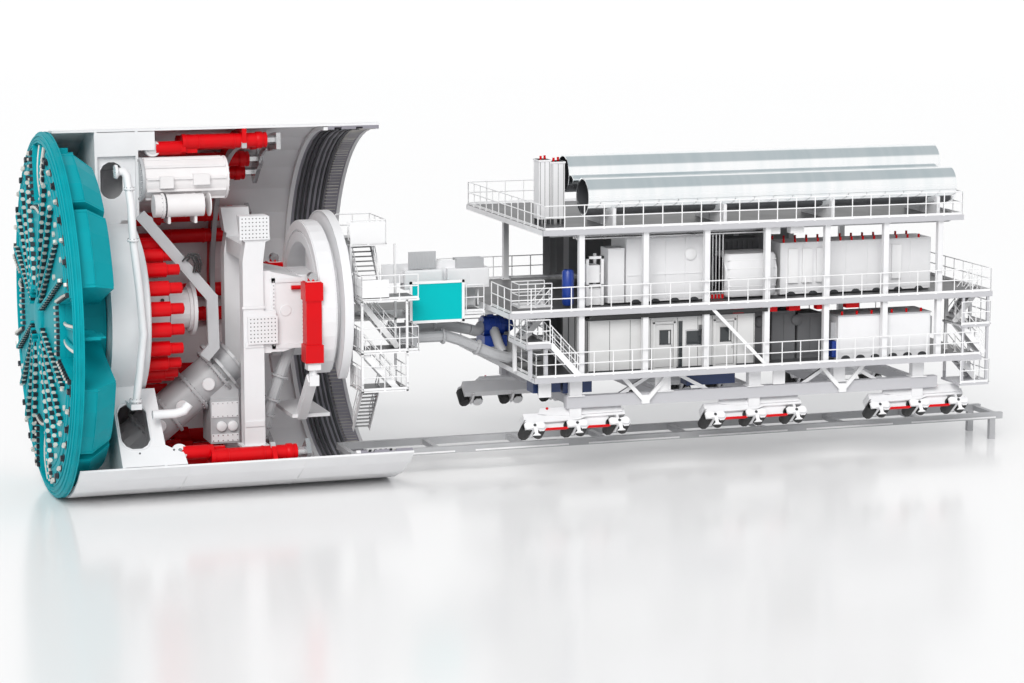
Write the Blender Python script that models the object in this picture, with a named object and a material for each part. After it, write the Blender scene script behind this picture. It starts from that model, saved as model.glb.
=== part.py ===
"""Tunnel boring machine at half size: a shield cut open on its near side, the bridge and the backup gantry.

Metres, +Z up, +X to the rear, -Y the near side. A place along the machine is its station: the distance
behind the shield's front edge. A place round the machine's axis is an angle from the bottom towards +Y.
The origin is on the floor, under the middle of the shield.
"""
import math

import bmesh
import bpy
from mathutils import Matrix, Vector

SEAT = 0.0003           # gap between two pieces that touch
FIT = 0.0005            # gap round a shaft, rod or axle in its bore
RUN = 0.006             # gap between pieces that pass each other
BITE = 0.01             # how far joined forms reach into each other
FACETS = 36             # flats round every turned piece of the shield

# shield
SHIELD_R = 4.10
SHIELD_WALL = 0.05
SHIELD_LENGTH = 7.52
CUT_LOW = -41.25        # the shell is kept from this angle ...
CUT_TOP = 180.0         # ... round by the bottom to this one
WALL_AT = 0.94          # pressure wall
WALL_THICK = 0.06
RING_AT = 1.86          # rear ring of the front frame
RING_THICK = 0.06
RING_BORE_R = 2.10
BOX_R = 3.50            # inner plate of the frame's box
PLATE = 0.05
WEB_ANGLES = (30, 70, 110, 150)
SEALS_AT = 6.30
SEAL_R = 3.97
SEAL_SLEEVE_R = 4.02

# cutterhead and drive
HEAD_R = 4.07
HEAD_REAR = -0.06
HEAD_RIM = 0.14
HEAD_DEPTH = 0.30
ARM_ANGLES = (30, 60, 120, 150, 210, 240, 300, 330)
ARM_SPREAD = 27.0           # degrees that each box behind the disc takes
ARM_INNER_R = 2.2
ARM_OUTER_R = 3.85
ARM_REACH = 0.70
HUB_R = 1.50
HUB_REACH = 0.86
MUCK_ANGLES = (0, 90, 180, 270)
MUCK_SPREAD = 26.0          # degrees of each opening, with its saddle
MUCK_INNER_R = 2.55
MUCK_OUTER_R = 3.82
MUCK_RECESS = 0.12          # how far the saddle lies behind the disc's flat front
SADDLE_SPREAD = 7.0
SHAFT_R = 0.30
SHAFT_END = 1.55
DRUM_AT = 0.88
DRUM_R = 1.90
DRUM_RIM_R = 1.98
DRUM_LENGTH = 0.86
MOTORS = 20
MOTOR_CIRCLE_R = 1.48
MOTOR_R = 0.14
MOTOR_LENGTH = 0.44
MOTOR_PLATE_THICK = 0.05
JOINT_R = 0.60
JOINT_LENGTH = 0.71

# pieces behind the drive
LOCK_R = 0.45
LOCK_AT = 1.98
LOCK_LENGTH = 1.80
LOCK_Z = 7.05
SMALL_LOCK_R = 0.25
SMALL_LOCK_LENGTH = 1.13
SMALL_LOCK_Y = -0.52
SMALL_LOCK_Z = 6.50
FEED_R = 0.085
FEED_Y = -2.10
FEED_AT = 1.35
FEED_FOOT_Z = 2.35
LINK_Y = -0.75
LINK_WIDTH = 0.25
LINK_THICK = 0.12
SCREW_R = 0.47
SCREW_FROM = (1.45, 0.92)   # station and height of two points of its axis
SCREW_TO = (4.00, 2.94)
SCREW_FLANGE_R = 0.68
SCREW_FLANGE_ALONG = 2.84
GATE_FROM = 3.38
GATE_TO = 4.04
GATE_LOW = 1.02
GATE_HIGH = 2.05
GATE_HALF = 0.42

# thrust cylinders
PAIRS = 8
PAIR_FIRST = -33.6
PAIR_STEP = 29.4
PAIR_HALF = 4.4             # half the angle between a pair's two cylinders
THRUST_R = 3.77             # circle of their axes
BARREL_R = 0.165
BARREL_FROM = 2.95
BARREL_TO = 4.90
BORE_FROM = 3.50
ROD_R = 0.10
ROD_FROM = 3.52
JACK_R = 0.155              # steering jack in front of each barrel
JACK_AXIS_R = 3.64
JACK_FROM = 2.30
CARRIER_AT = 4.30
CARRIER_THICK = 0.10
CARRIER_BORE_R = 3.72
SHOE_AT = 5.10
SHOE_THICK = 0.10
SHOE_INNER_R = 3.55
SHOE_OUTER_R = 3.93
RAM_GROUPS = 4

# frame, beam and erector
COLUMN_INNER_Y = 0.78
COLUMN_OUTER_Y = 1.12
COLUMN_FROM = 4.01
COLUMN_TO = 4.48
BLOCK_TO = 4.66
BEAM_HALF = 1.05
BEAM_LOW = 3.17
BEAM_HIGH = 4.99
BEAM_TO = 5.50
NECK_HALF = 0.70
NECK_LOW = 3.35
NECK_HIGH = 4.85
NECK_TO = 6.40
SUCTION_R = 0.14
SUCTION_Y = -0.54
COLLAR_AT = 5.60
COLLAR_BORE_R = 1.43
ROTOR_BORE_R = 1.66
ROTOR_R = 1.92
ROTOR_AT = 5.62
ROTOR_TO = 5.95
REAR_RING_AT = 6.10
REAR_RING_TO = 6.30
REAR_RING_R = 2.10
OPEN_HALF = 43.0            # half the angle of the rings' open bottom
LIFT_Y = 1.80
LIFT_AT = 5.43
LIFT_HALF = 0.15
LIFT_LOW = 2.85
LIFT_HIGH = 4.85
LIFT_ROD_R = 0.09
HEAD_PLATE_FROM = 5.14
HEAD_PLATE_TO = 6.02
HEAD_PLATE_HALF = 1.00
HEAD_PLATE_Z = 1.62
HEAD_PLATE_THICK = 0.08

# access tower and bridge
TOWER_AT = 6.45
TOWER_TO = 7.80
TOWER_NEAR = -2.20
TOWER_FAR = -1.20
DECK_THICK = 0.05
BRIDGE_HALF = 0.60
BRIDGE_LOW = 3.72
WALK_Z = 3.92
WALK_NEAR = -1.40
SIGN_FROM = 7.83
SIGN_TO = 9.05
SIGN_LOW = 3.76
SIGN_HIGH = 4.64
SIGN_THICK = 0.05
SLURRY_R = 0.13

# gantry
GANTRY_HALF = 2.90
LOW_DECK_Z = 2.55           # tops of the three decks
MID_DECK_Z = 4.05
ROOF_Z = 5.90
SHEET = 0.04
EDGE = 0.12
LOW_FROM, LOW_TO = 10.30, 21.50
MID_FROM, MID_TO = 9.70, 21.75
ROOF_FROM, ROOF_TO = 10.50, 20.95
POST = 0.13
POST_IN = 0.15              # posts' axes from the decks' side edges
POSTS = (11.45, 13.00, 14.50, 16.00, 17.50, 19.00, 20.40)
SILL_Y = 2.40
SILL_HALF = 0.10
SILL_LOW, SILL_HIGH = 1.75, 2.02
SILL_FROM, SILL_TO = 11.20, 20.55

# bogies and rollers
BOGIES = (11.43, 15.85, 20.05)
UNIT_STEP = 1.025
ROLLER_ANGLE = 40.0
ROLLER_ORBIT = 3.70
ROLLER_R = 0.125
ROLLER_HALF = 0.19
ROLLER_PITCH = 0.34
AXLE_R = 0.035
CAP_THICK = 0.05
CAP_HALF = 0.23
CAP_RISE = 0.075
ROLLER_FACETS = 8

# cabin, cabinets, tanks, ducts and feeder
CABIN_FROM, CABIN_TO = 11.68, 15.78
CABIN_IN, CABIN_WIDE = 0.30, 1.80      # from the low deck's edge
CABIN_TALL = 1.25
DOORS = (13.30, 14.80)      # stations of the hinges
DOOR_WIDTH = 0.46
DOOR_TALL = 1.05
DOOR_THICK = 0.04
DOOR_GAP = 0.010
PIN_R = 0.012
DUCT_R = 0.43
DUCT_WALL = 0.015
NEAR_DUCT_IN, NEAR_DUCT_UP = 0.55, 0.68      # its axis from the roof's edge and top
FAR_DUCT_IN, FAR_DUCT_UP = 1.44, 1.13
TANK_IN, TANK_TALL = 1.39, 1.48
CABINET_IN = 0.70
STAIR_IN = 0.24
UPPER_STAIR_IN = 1.05
FRONT_LANDING_IN = 1.32
FRONT_LANDING_Z = 3.33
LANDING_WIDE = 1.00
LANDING_Z = 3.27
FOOT_LANDING_Z = 1.87
CROSSES = (11.43, 13.60, 15.85, 18.00, 20.05)    # stations of the struts from the sills to the low deck
DUCT_FROM, DUCT_TO = 11.62, 20.80
FEEDER_FROM, FEEDER_TO = 6.60, 23.30
FEEDER_LOW, FEEDER_HIGH = 0.505, 0.665
FEEDER_INNER, FEEDER_OUTER = 0.525, 0.65

FLAT = math.cos(math.pi / FACETS)       # a flat's distance from the axis over its corners'
AXIS_Z = SHIELD_R * FLAT
FACE = -SHIELD_LENGTH / 2               # x of station 0
INNER_R = SHIELD_R - SHIELD_WALL
FRAME_R = INNER_R - SEAT / FLAT
WEB_R = INNER_R * FLAT - SEAT
DRUM_END = DRUM_AT + DRUM_LENGTH
BRIDGE_FROM = NECK_TO + SEAT
SCREW_SEAT = WALL_AT + WALL_THICK - 0.001    # where the tube meets the pressure wall
BRIDGE_HIGH = MID_DECK_Z - EDGE - SEAT
POST_Y = GANTRY_HALF - POST_IN
CABIN_NEAR = CABIN_IN - GANTRY_HALF
CABIN_FAR = CABIN_NEAR + CABIN_WIDE
CABIN_HIGH = LOW_DECK_Z + CABIN_TALL
DOOR_HIGH = LOW_DECK_Z + DOOR_TALL


def polar(r, angle):
    """(y, z) of a point round the machine's axis."""
    a = math.radians(angle)
    return r * math.sin(a), AXIS_Z - r * math.cos(a)


def form(points, faces):
    """A mesh from (station, y, z) points, its faces turned outwards."""
    mesh = bpy.data.meshes.new("form")
    mesh.from_pydata([(FACE + s, y, z) for s, y, z in points], [], faces)
    bm = bmesh.new()
    bm.from_mesh(mesh)
    bmesh.ops.remove_doubles(bm, verts=bm.verts, dist=1e-6)
    bmesh.ops.recalc_face_normals(bm, faces=bm.faces)
    bm.to_mesh(mesh)
    bm.free()
    return mesh


def prism(front, back):
    """A solid between two outlines with the same number of points."""
    n = len(front)
    faces = [tuple(range(n)), tuple(range(n, 2 * n))]
    faces += [(i, (i + 1) % n, n + (i + 1) % n, n + i) for i in range(n)]
    return form(list(front) + list(back), faces)


def box(s0, s1, y0, y1, z0, z1):
    front = [(s0, y0, z0), (s0, y1, z0), (s0, y1, z1), (s0, y0, z1)]
    return prism(front, [(s1, y, z) for _, y, z in front])


def side_plate(outline, y0, y1):
    """An outline of (station, z) points, from y0 to y1."""
    return prism([(s, y0, z) for s, z in outline], [(s, y1, z) for s, z in outline])


def cross_plate(outline, s0, s1):
    """An outline of (y, z) points, from station s0 to s1."""
    return prism([(s0, y, z) for y, z in outline], [(s1, y, z) for y, z in outline])


def radial_plate(outline, angle, t0, t1):
    """An outline of (station, radius) points in the plane at an angle, t0 to t1 thick towards larger angles."""
    a = math.radians(angle)

    def at(s, r, t):
        return s, r * math.sin(a) + t * math.cos(a), AXIS_Z - r * math.cos(a) + t * math.sin(a)

    return prism([at(s, r, t0) for s, r in outline], [at(s, r, t1) for s, r in outline])


def oval(s, r, half_s, half_r, n=12):
    """Outline of a slot with round ends, longer along r."""
    points = []
    for i in range(n):
        a = 2 * math.pi * (i + 0.5) / n
        lift = (half_r - half_s) * (1 if math.sin(a) > 0 else -1)
        points.append((s + half_s * math.cos(a), r + lift + half_s * math.sin(a)))
    return points


def turned(profile, a0=None, a1=None, facets=FACETS, shift=0.5):
    """A closed (station, radius) profile turned about the machine's axis, all round or from angle a0 to a1.

    Its corners lie at (k + shift) steps, so shift 0 puts them halfway along the flats of the other pieces.
    """
    step = 360 / facets
    if a0 is None:
        angles = [(k + shift) * step for k in range(facets)]
    else:
        k0, k1 = math.floor(a0 / step - shift) + 1, math.ceil(a1 / step - shift) - 1
        inside = [(k + shift) * step for k in range(k0, k1 + 1)]
        angles = [a0] + [a for a in inside if a0 + 1e-6 < a < a1 - 1e-6] + [a1]
    n, rows = len(profile), len(angles)
    points = [(s, *polar(r, a)) for a in angles for s, r in profile]
    faces = []
    for i in range(rows if a0 is None else rows - 1):
        j = (i + 1) % rows
        for k in range(n):
            m = (k + 1) % n
            quad = [i * n + k, j * n + k, j * n + m, i * n + m]
            if profile[k][1] < 1e-9 and profile[m][1] < 1e-9:
                continue
            if profile[k][1] < 1e-9:
                quad.pop(1)
            elif profile[m][1] < 1e-9:
                quad.pop(2)
            faces.append(quad)
    if a0 is not None:
        faces += [list(range(n)), list(range((rows - 1) * n, rows * n))]
    return form(points, faces)


def frame_along(direction):
    """Two unit vectors square to a direction, the first as level as can be."""
    d = Vector(direction).normalized()
    side = d.cross(Vector((0, 0, 1)))
    if side.length < 1e-6:
        side = Vector((1, 0, 0))
    side.normalize()
    return side, side.cross(d).normalized()


def rod(a, b, r, n=12, half_turn=True):
    """A round bar with n flats between two (station, y, z) points."""
    side, up = frame_along(Vector(b) - Vector(a))
    rings = []
    for end in (a, b):
        ring = []
        for i in range(n):
            w = 2 * math.pi * (i + (0.5 if half_turn else 0)) / n
            ring.append(tuple(Vector(end) + side * (r * math.cos(w)) + up * (r * math.sin(w))))
        rings.append(ring)
    return prism(*rings)


def bar(a, b, wide, deep):
    """A flat bar between two (station, y, z) points, wide sideways and deep upwards."""
    side, up = frame_along(Vector(b) - Vector(a))
    corners = ((-1, -1), (1, -1), (1, 1), (-1, 1))
    ends = [[tuple(Vector(e) + side * (i * wide / 2) + up * (j * deep / 2)) for i, j in corners] for e in (a, b)]
    return prism(*ends)


def pipe(points, r, n=10):
    """A round pipe along (station, y, z) points, mitred at its bends."""
    path = [Vector(p) for p in points]
    steps = [(q - p).normalized() for p, q in zip(path, path[1:])]
    side, up = frame_along(steps[0])
    rings = []
    ring = [path[0] + side * (r * math.cos(2 * math.pi * i / n)) + up * (r * math.sin(2 * math.pi * i / n))
            for i in range(n)]
    rings.append(ring)
    for k in range(1, len(path)):
        ahead = steps[k] if k < len(steps) else steps[k - 1]
        normal = (steps[k - 1] + ahead).normalized()
        ring = [p + steps[k - 1] * ((path[k] - p).dot(normal) / steps[k - 1].dot(normal)) for p in ring]
        rings.append(ring)
    faces = [tuple(range(n)), tuple((len(rings) - 1) * n + i for i in range(n))]
    for k in range(len(rings) - 1):
        faces += [(k * n + i, k * n + (i + 1) % n, (k + 1) * n + (i + 1) % n, (k + 1) * n + i) for i in range(n)]
    return form([tuple(p) for ring in rings for p in ring], faces)


def material(name, colour, roughness, metallic):
    made = bpy.data.materials.new(name)
    made.use_nodes = True
    shader = made.node_tree.nodes["Principled BSDF"]
    shader.inputs["Base Color"].default_value = (*colour, 1)
    shader.inputs["Roughness"].default_value = roughness
    shader.inputs["Metallic"].default_value = metallic
    return made


def combine(mesh, operation, others):
    """The mesh joined with, or cut by, all the others at once."""
    if not others:
        return mesh
    scene = bpy.context.scene.collection
    group = bpy.data.collections.new("operands")
    scene.children.link(group)
    body = bpy.data.objects.new("body", mesh)
    scene.objects.link(body)
    helpers = [bpy.data.objects.new("operand", other) for other in others]
    for helper in helpers:
        group.objects.link(helper)
    change = body.modifiers.new("change", "BOOLEAN")
    change.operation = operation
    change.operand_type = "COLLECTION"
    change.collection = group
    change.solver = "EXACT"
    graph = bpy.context.evaluated_depsgraph_get()
    done = bpy.data.meshes.new_from_object(body.evaluated_get(graph))
    for each in helpers + [body]:
        bpy.data.objects.remove(each)
    bpy.data.collections.remove(group)
    return done


def node(name, forms, finish, cuts=(), pivot=None, parent=None):
    """One object from forms joined together, less the cuts, with its origin at pivot (station, y, z)."""
    mesh = combine(forms[0], "UNION", forms[1:])
    mesh = combine(mesh, "DIFFERENCE", list(cuts))
    mesh.name = name
    at = Vector((FACE + pivot[0], pivot[1], pivot[2])) if pivot else Vector((0, 0, 0))
    mesh.transform(Matrix.Translation(-at))
    mesh.materials.clear()
    mesh.materials.append(material(name, *finish))
    mesh.shade_smooth()
    mesh.set_sharp_from_angle(angle=math.radians(30))
    thing = bpy.data.objects.new(name, mesh)
    bpy.context.scene.collection.objects.link(thing)
    thing.location = at
    if parent:
        thing.parent = bpy.data.objects[parent]
        thing.location = at - PLACES[parent]
    PLACES[name] = at
    return thing


PLACES = {}              # where each object's origin lies

WHITE = ((0.86, 0.86, 0.87), 0.35, 0.0)
GREY = ((0.55, 0.55, 0.57), 0.4, 0.0)
DARK = ((0.10, 0.10, 0.11), 0.6, 0.0)
RED = ((0.85, 0.02, 0.02), 0.3, 0.0)
TEAL = ((0.0, 0.36, 0.38), 0.35, 0.0)
BLUE = ((0.02, 0.08, 0.45), 0.35, 0.0)
STEEL = ((0.70, 0.72, 0.75), 0.25, 1.0)

for old in list(bpy.data.objects):
    bpy.data.objects.remove(old)


def shield():
    skin = [(0, INNER_R), (SHIELD_LENGTH, INNER_R), (SHIELD_LENGTH, SHIELD_R), (0, SHIELD_R)]
    node("shield_skin", [turned(skin, CUT_LOW, CUT_TOP)], WHITE)

    wall_rear = WALL_AT + WALL_THICK
    ring_rear = RING_AT + RING_THICK
    bore = DRUM_R + SEAT / FLAT
    section = [(WALL_AT, bore), (wall_rear, bore), (wall_rear, BOX_R), (RING_AT, BOX_R), (RING_AT, RING_BORE_R),
               (ring_rear, RING_BORE_R), (ring_rear, FRAME_R), (RING_AT, FRAME_R), (RING_AT, BOX_R + PLATE),
               (wall_rear, BOX_R + PLATE), (wall_rear, FRAME_R), (WALL_AT, FRAME_R)]
    forms = [turned(section, CUT_LOW, CUT_TOP)]
    web_inner = RING_BORE_R + 0.05
    for angle in WEB_ANGLES:
        forms.append(radial_plate([(wall_rear - BITE, web_inner), (RING_AT + BITE, web_inner),
                                   (RING_AT + BITE, WEB_R), (wall_rear - BITE, WEB_R)],
                                  angle, -PLATE / 2, PLATE / 2))
    # the plate in the lower cut, with its ledge along the skin
    neck = DRUM_RIM_R + 0.02
    forms.append(radial_plate([(WALL_AT + 0.01, bore + 0.01), (DRUM_END - 0.26, bore + 0.01), (DRUM_END - 0.20, neck + 0.05),
                               (ring_rear, neck + 0.05), (ring_rear + 0.03, BOX_R + 0.02), (2.34, BOX_R + 0.26),
                               (2.38, WEB_R), (WALL_AT + 0.01, WEB_R)], CUT_LOW, 0.002, PLATE))
    # the box's end in the upper cut, and the set-back plate under it
    forms.append(radial_plate([(WALL_AT + 0.01, BOX_R), (ring_rear, BOX_R), (ring_rear, BOX_R + 0.12),
                               (2.30, BOX_R + 0.12), (2.30, WEB_R), (WALL_AT + 0.01, WEB_R)],
                              CUT_TOP, -PLATE, -0.002))
    forms.append(radial_plate([(wall_rear - BITE, bore + 0.01), (DRUM_END - 0.26, bore + 0.01),
                               (DRUM_END - 0.20, neck + 0.05), (RING_AT + BITE, neck + 0.05),
                               (RING_AT + BITE, BOX_R + BITE), (wall_rear - BITE, BOX_R + BITE)],
                              CUT_TOP, -0.17, -0.12))
    # the bracket under the feed pipe's foot
    foot_r = (AXIS_Z - FEED_FOOT_Z + 0.06) / math.cos(math.radians(CUT_LOW))
    foot_y = foot_r * math.sin(math.radians(CUT_LOW))
    forms.append(box(FEED_AT - 0.12, FEED_AT + 0.12, FEED_Y - 0.12, foot_y + 0.06,
                     FEED_FOOT_Z - 0.12, FEED_FOOT_Z - SEAT))
    cuts = [
        radial_plate(oval(1.325, 3.0, 0.33, 0.60), CUT_LOW, -0.1, PLATE + 0.1),
        radial_plate(oval(1.33, 2.95, 0.26, 0.42), CUT_TOP, -0.3, -0.08),
        screw_tube(SCREW_R + 0.02, SCREW_SEAT),
    ]
    node("front_frame", forms, GREY, cuts)

    bands = ((SEALS_AT, 0.15), (6.62, 0.34), (7.12, 0.38))
    section = [(bands[-1][0] + bands[-1][1], FRAME_R), (SEALS_AT, FRAME_R)]
    for at, wide in bands:
        section += [(at, SEAL_SLEEVE_R), (at, SEAL_R), (at + wide, SEAL_R), (at + wide, SEAL_SLEEVE_R)]
    section.pop(2)
    section.pop()
    seals = [turned(section, CUT_LOW, CUT_TOP)]
    node("tail_seals", seals, DARK)


def screw_tube(r, front):
    """The screw conveyor's tube, cut off square to the machine at station front."""
    a, b = Vector((SCREW_FROM[0], 0, SCREW_FROM[1])), Vector((SCREW_TO[0], 0, SCREW_TO[1]))
    way = (b - a).normalized()
    return combine(rod(tuple(a - way * 1.3), tuple(b), r, 16), "DIFFERENCE", [box(front - 2, front, -1, 1, -2, 2.5)])


def drive():
    rim_front = HEAD_REAR - HEAD_RIM
    front = HEAD_REAR - HEAD_DEPTH
    disc = [(front, 0), (SHAFT_END, 0), (SHAFT_END, SHAFT_R), (HUB_REACH, SHAFT_R), (HUB_REACH, HUB_R),
            (HEAD_REAR, HUB_R), (HEAD_REAR, HEAD_R - 0.04), (HEAD_REAR - 0.04, HEAD_R), (rim_front, HEAD_R),
            (rim_front - 0.05, HEAD_R - 0.12), (rim_front - 0.09, HEAD_R - 0.27), (rim_front - 0.11, HEAD_R - 0.45),
            (rim_front - 0.12, HEAD_R - 0.57)]
    forms = [turned(disc)]
    cuts = []
    arm = [(HEAD_REAR - 0.1, HUB_R - 0.2), (HUB_REACH - 0.12, HUB_R - 0.2), (ARM_REACH, ARM_INNER_R),
           (ARM_REACH, ARM_OUTER_R - 0.35), (ARM_REACH - 0.45, ARM_OUTER_R), (HEAD_REAR - 0.1, ARM_OUTER_R)]
    for angle in ARM_ANGLES:
        forms.append(turned(arm, angle - ARM_SPREAD / 2, angle + ARM_SPREAD / 2))

    def slot(rear, angle, spread, lip):
        inner, outer = MUCK_INNER_R - lip, MUCK_OUTER_R + lip
        outline = [(rear, inner), (rear, outer), (front - 0.5, outer), (front - 0.5, inner)]
        return turned(outline, angle - spread / 2, angle + spread / 2)

    each = (MUCK_SPREAD - SADDLE_SPREAD) / 2
    for angle in MUCK_ANGLES:
        cuts.append(slot(rim_front - 0.12 + MUCK_RECESS, angle, MUCK_SPREAD + 1, 0.03))
        for side in (-1, 1):
            cuts.append(slot(HEAD_REAR + 0.2, angle + side * (SADDLE_SPREAD + each) / 2, each, 0))
    node("cutterhead", forms, TEAL, cuts, pivot=(HEAD_REAR, 0, AXIS_Z))

    bore = SHAFT_R - 0.02
    drum = [(DRUM_AT, bore), (DRUM_AT, DRUM_R - 0.30), (WALL_AT, DRUM_R), (DRUM_END - 0.16, DRUM_R),
            (DRUM_END - 0.16, DRUM_RIM_R), (DRUM_END - 0.04, DRUM_RIM_R), (DRUM_END - 0.04, MOTOR_CIRCLE_R + 0.27),
            (DRUM_END, MOTOR_CIRCLE_R + 0.27), (DRUM_END, bore)]
    shaft_hole = rod((DRUM_AT - 0.1, 0, AXIS_Z), (DRUM_END + 0.1, 0, AXIS_Z), (SHAFT_R + FIT) / FLAT, FACETS, False)
    node("main_drive", [turned(drum)], WHITE, [shaft_hole])

    back = DRUM_END + SEAT
    plate = [(back, MOTOR_CIRCLE_R - 0.33), (back, MOTOR_CIRCLE_R + 0.24),
             (back + MOTOR_PLATE_THICK, MOTOR_CIRCLE_R + 0.24), (back + MOTOR_PLATE_THICK, MOTOR_CIRCLE_R - 0.33)]
    forms = [turned(plate)]
    for i in range(MOTORS):
        y, z = polar(MOTOR_CIRCLE_R, 360 / MOTORS * (i + 0.5))
        forms.append(rod((back + 0.02, y, z), (back + MOTOR_LENGTH, y, z), MOTOR_R, 8))
    node("drive_motors", forms, RED)

    joint = [(back, 0), (back, JOINT_R), (back + JOINT_LENGTH, JOINT_R), (back + JOINT_LENGTH, JOINT_R - 0.17),
             (back + 1.21, JOINT_R - 0.17), (back + 1.21, JOINT_R - 0.10), (back + 1.36, JOINT_R - 0.10),
             (back + 1.36, 0)]
    node("centre_joint", [turned(joint, facets=24)], WHITE)


def behind_drive():
    top = 7.10
    path = [(FEED_AT, FEED_Y, FEED_FOOT_Z), (FEED_AT, FEED_Y, 6.10), (FEED_AT - 0.16, FEED_Y, 6.72),
            (FEED_AT - 0.16, FEED_Y, top)]
    forms = [pipe(path, FEED_R, 10), rod((FEED_AT - 0.16, FEED_Y, top - 0.16), (FEED_AT - 0.16, FEED_Y, top - 0.08),
                                         FEED_R + 0.05, 10),
             rod((FEED_AT - 0.36, FEED_Y, top), (FEED_AT - 0.03, FEED_Y, top), FEED_R + 0.03, 10)]
    node("feed_pipe", forms, WHITE)

    flange = RING_AT + RING_THICK + SEAT
    end = LOCK_AT + LOCK_LENGTH
    forms = [rod((flange + 0.02, 0, LOCK_Z), (end, 0, LOCK_Z), LOCK_R, 20),
             rod((flange, 0, LOCK_Z), (flange + 0.08, 0, LOCK_Z), LOCK_R + 0.07, 20),
             rod((LOCK_AT + 0.15, SMALL_LOCK_Y, SMALL_LOCK_Z),
                 (LOCK_AT + 0.15 + SMALL_LOCK_LENGTH, SMALL_LOCK_Y, SMALL_LOCK_Z), SMALL_LOCK_R, 14),
             box(LOCK_AT + 0.30, LOCK_AT + 1.15, SMALL_LOCK_Y, -0.05, SMALL_LOCK_Z - 0.05, LOCK_Z - 0.2),
             side_plate([(end - 0.45, LOCK_Z - 0.3), (end - 0.10, LOCK_Z - 0.3), (end + 0.12, SMALL_LOCK_Z - 0.32),
                         (end - 0.38, SMALL_LOCK_Z - 0.32)], -0.30, 0.30)]
    node("man_lock", forms, WHITE)

    line = [(1.83, 6.30), (3.38, 4.42), (3.40, 3.32), (3.22, 3.12)]
    half = LINK_WIDTH / 2
    forms = []
    for (s0, z0), (s1, z1) in zip(line, line[1:]):
        way = Vector((s1 - s0, z1 - z0)).normalized()
        off = Vector((-way.y, way.x)) * half
        p, q = Vector((s0, z0)) - way * 0.06, Vector((s1, z1)) + way * 0.06
        forms.append(side_plate([tuple(p + off), tuple(q + off), tuple(q - off), tuple(p - off)],
                                LINK_Y - LINK_THICK / 2, LINK_Y + LINK_THICK / 2))
    # the pin that carries its upper end on the rear ring
    pin = RING_AT + RING_THICK + 0.08
    forms.append(rod((pin + SEAT, LINK_Y, 6.22), (pin + SEAT, 0.30, 6.22), 0.08 / math.cos(math.pi / 12), 12))
    node("link_arm", forms, GREY)

    a, b = Vector((SCREW_FROM[0], 0, SCREW_FROM[1])), Vector((SCREW_TO[0], 0, SCREW_TO[1]))
    way = (b - a).normalized()
    middle = a + way * SCREW_FLANGE_ALONG
    forms = [screw_tube(SCREW_R, SCREW_SEAT + SEAT),
             rod(tuple(middle), tuple(middle + way * 0.07), SCREW_FLANGE_R, 16),
             rod(tuple(b - way * 0.07), tuple(b), SCREW_R + 0.06, 16),
             box(GATE_FROM, GATE_TO, -GATE_HALF, GATE_HALF, GATE_LOW, GATE_HIGH)]
    forms.append(side_plate([(GATE_FROM + 0.06, GATE_HIGH - 0.1), (GATE_TO, GATE_HIGH - 0.1), (GATE_TO, 2.30),
                             (3.80, 2.62), (3.30, 2.30)], -GATE_HALF + 0.03, GATE_HALF - 0.03))
    outside = turned([(0.5, FRAME_R - 0.02), (5, FRAME_R - 0.02), (5, SHIELD_R + 1), (0.5, SHIELD_R + 1)], -41.25, 41.25)
    node("screw_conveyor", forms, GREY, [outside])


def thrust():
    angles = [PAIR_FIRST + PAIR_STEP * i for i in range(PAIRS)]
    carrier = [(CARRIER_AT, CARRIER_BORE_R), (CARRIER_AT + CARRIER_THICK, CARRIER_BORE_R),
               (CARRIER_AT + CARRIER_THICK, FRAME_R), (CARRIER_AT, FRAME_R)]
    forms = [turned(carrier, CUT_LOW, CUT_TOP)]
    cuts = []
    bore = (ROD_R + FIT) / math.cos(math.pi / 6)
    for middle in angles:
        for angle in (middle - PAIR_HALF, middle + PAIR_HALF):
            y, z = polar(THRUST_R, angle)
            jy, jz = polar(JACK_AXIS_R, angle)
            forms.append(rod((BARREL_FROM, y, z), (BARREL_TO, y, z), BARREL_R, 8))
            forms.append(rod((JACK_FROM, jy, jz), (BARREL_FROM + 0.08, jy, jz), JACK_R, 6))
            cuts.append(rod((BORE_FROM, y, z), (BARREL_TO + 0.1, y, z), bore, 6, False))
    node("thrust_barrels", forms, RED, cuts)

    each = PAIRS // RAM_GROUPS
    for g in range(RAM_GROUPS):
        group = angles[g * each:(g + 1) * each]
        strip = [(SHOE_AT + 0.02, SHOE_INNER_R + 0.12), (SHOE_AT + SHOE_THICK - 0.02, SHOE_INNER_R + 0.12),
                 (SHOE_AT + SHOE_THICK - 0.02, SHOE_OUTER_R - 0.12), (SHOE_AT + 0.02, SHOE_OUTER_R - 0.12)]
        forms = [turned(strip, group[0], group[-1])]
        for middle in group:
            shoe = [(SHOE_AT, SHOE_INNER_R), (SHOE_AT + SHOE_THICK, SHOE_INNER_R),
                    (SHOE_AT + SHOE_THICK, SHOE_OUTER_R), (SHOE_AT, SHOE_OUTER_R)]
            forms.append(turned(shoe, middle - PAIR_HALF - 2.6, middle + PAIR_HALF + 2.6))
            for angle in (middle - PAIR_HALF, middle + PAIR_HALF):
                y, z = polar(THRUST_R, angle)
                forms.append(rod((ROD_FROM, y, z), (SHOE_AT + BITE, y, z), ROD_R, 6))
        y, z = polar(THRUST_R, (group[0] + group[-1]) / 2)
        node(f"thrust_rams_{g + 1}", forms, STEEL, pivot=(SHOE_AT, y, z))


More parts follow.
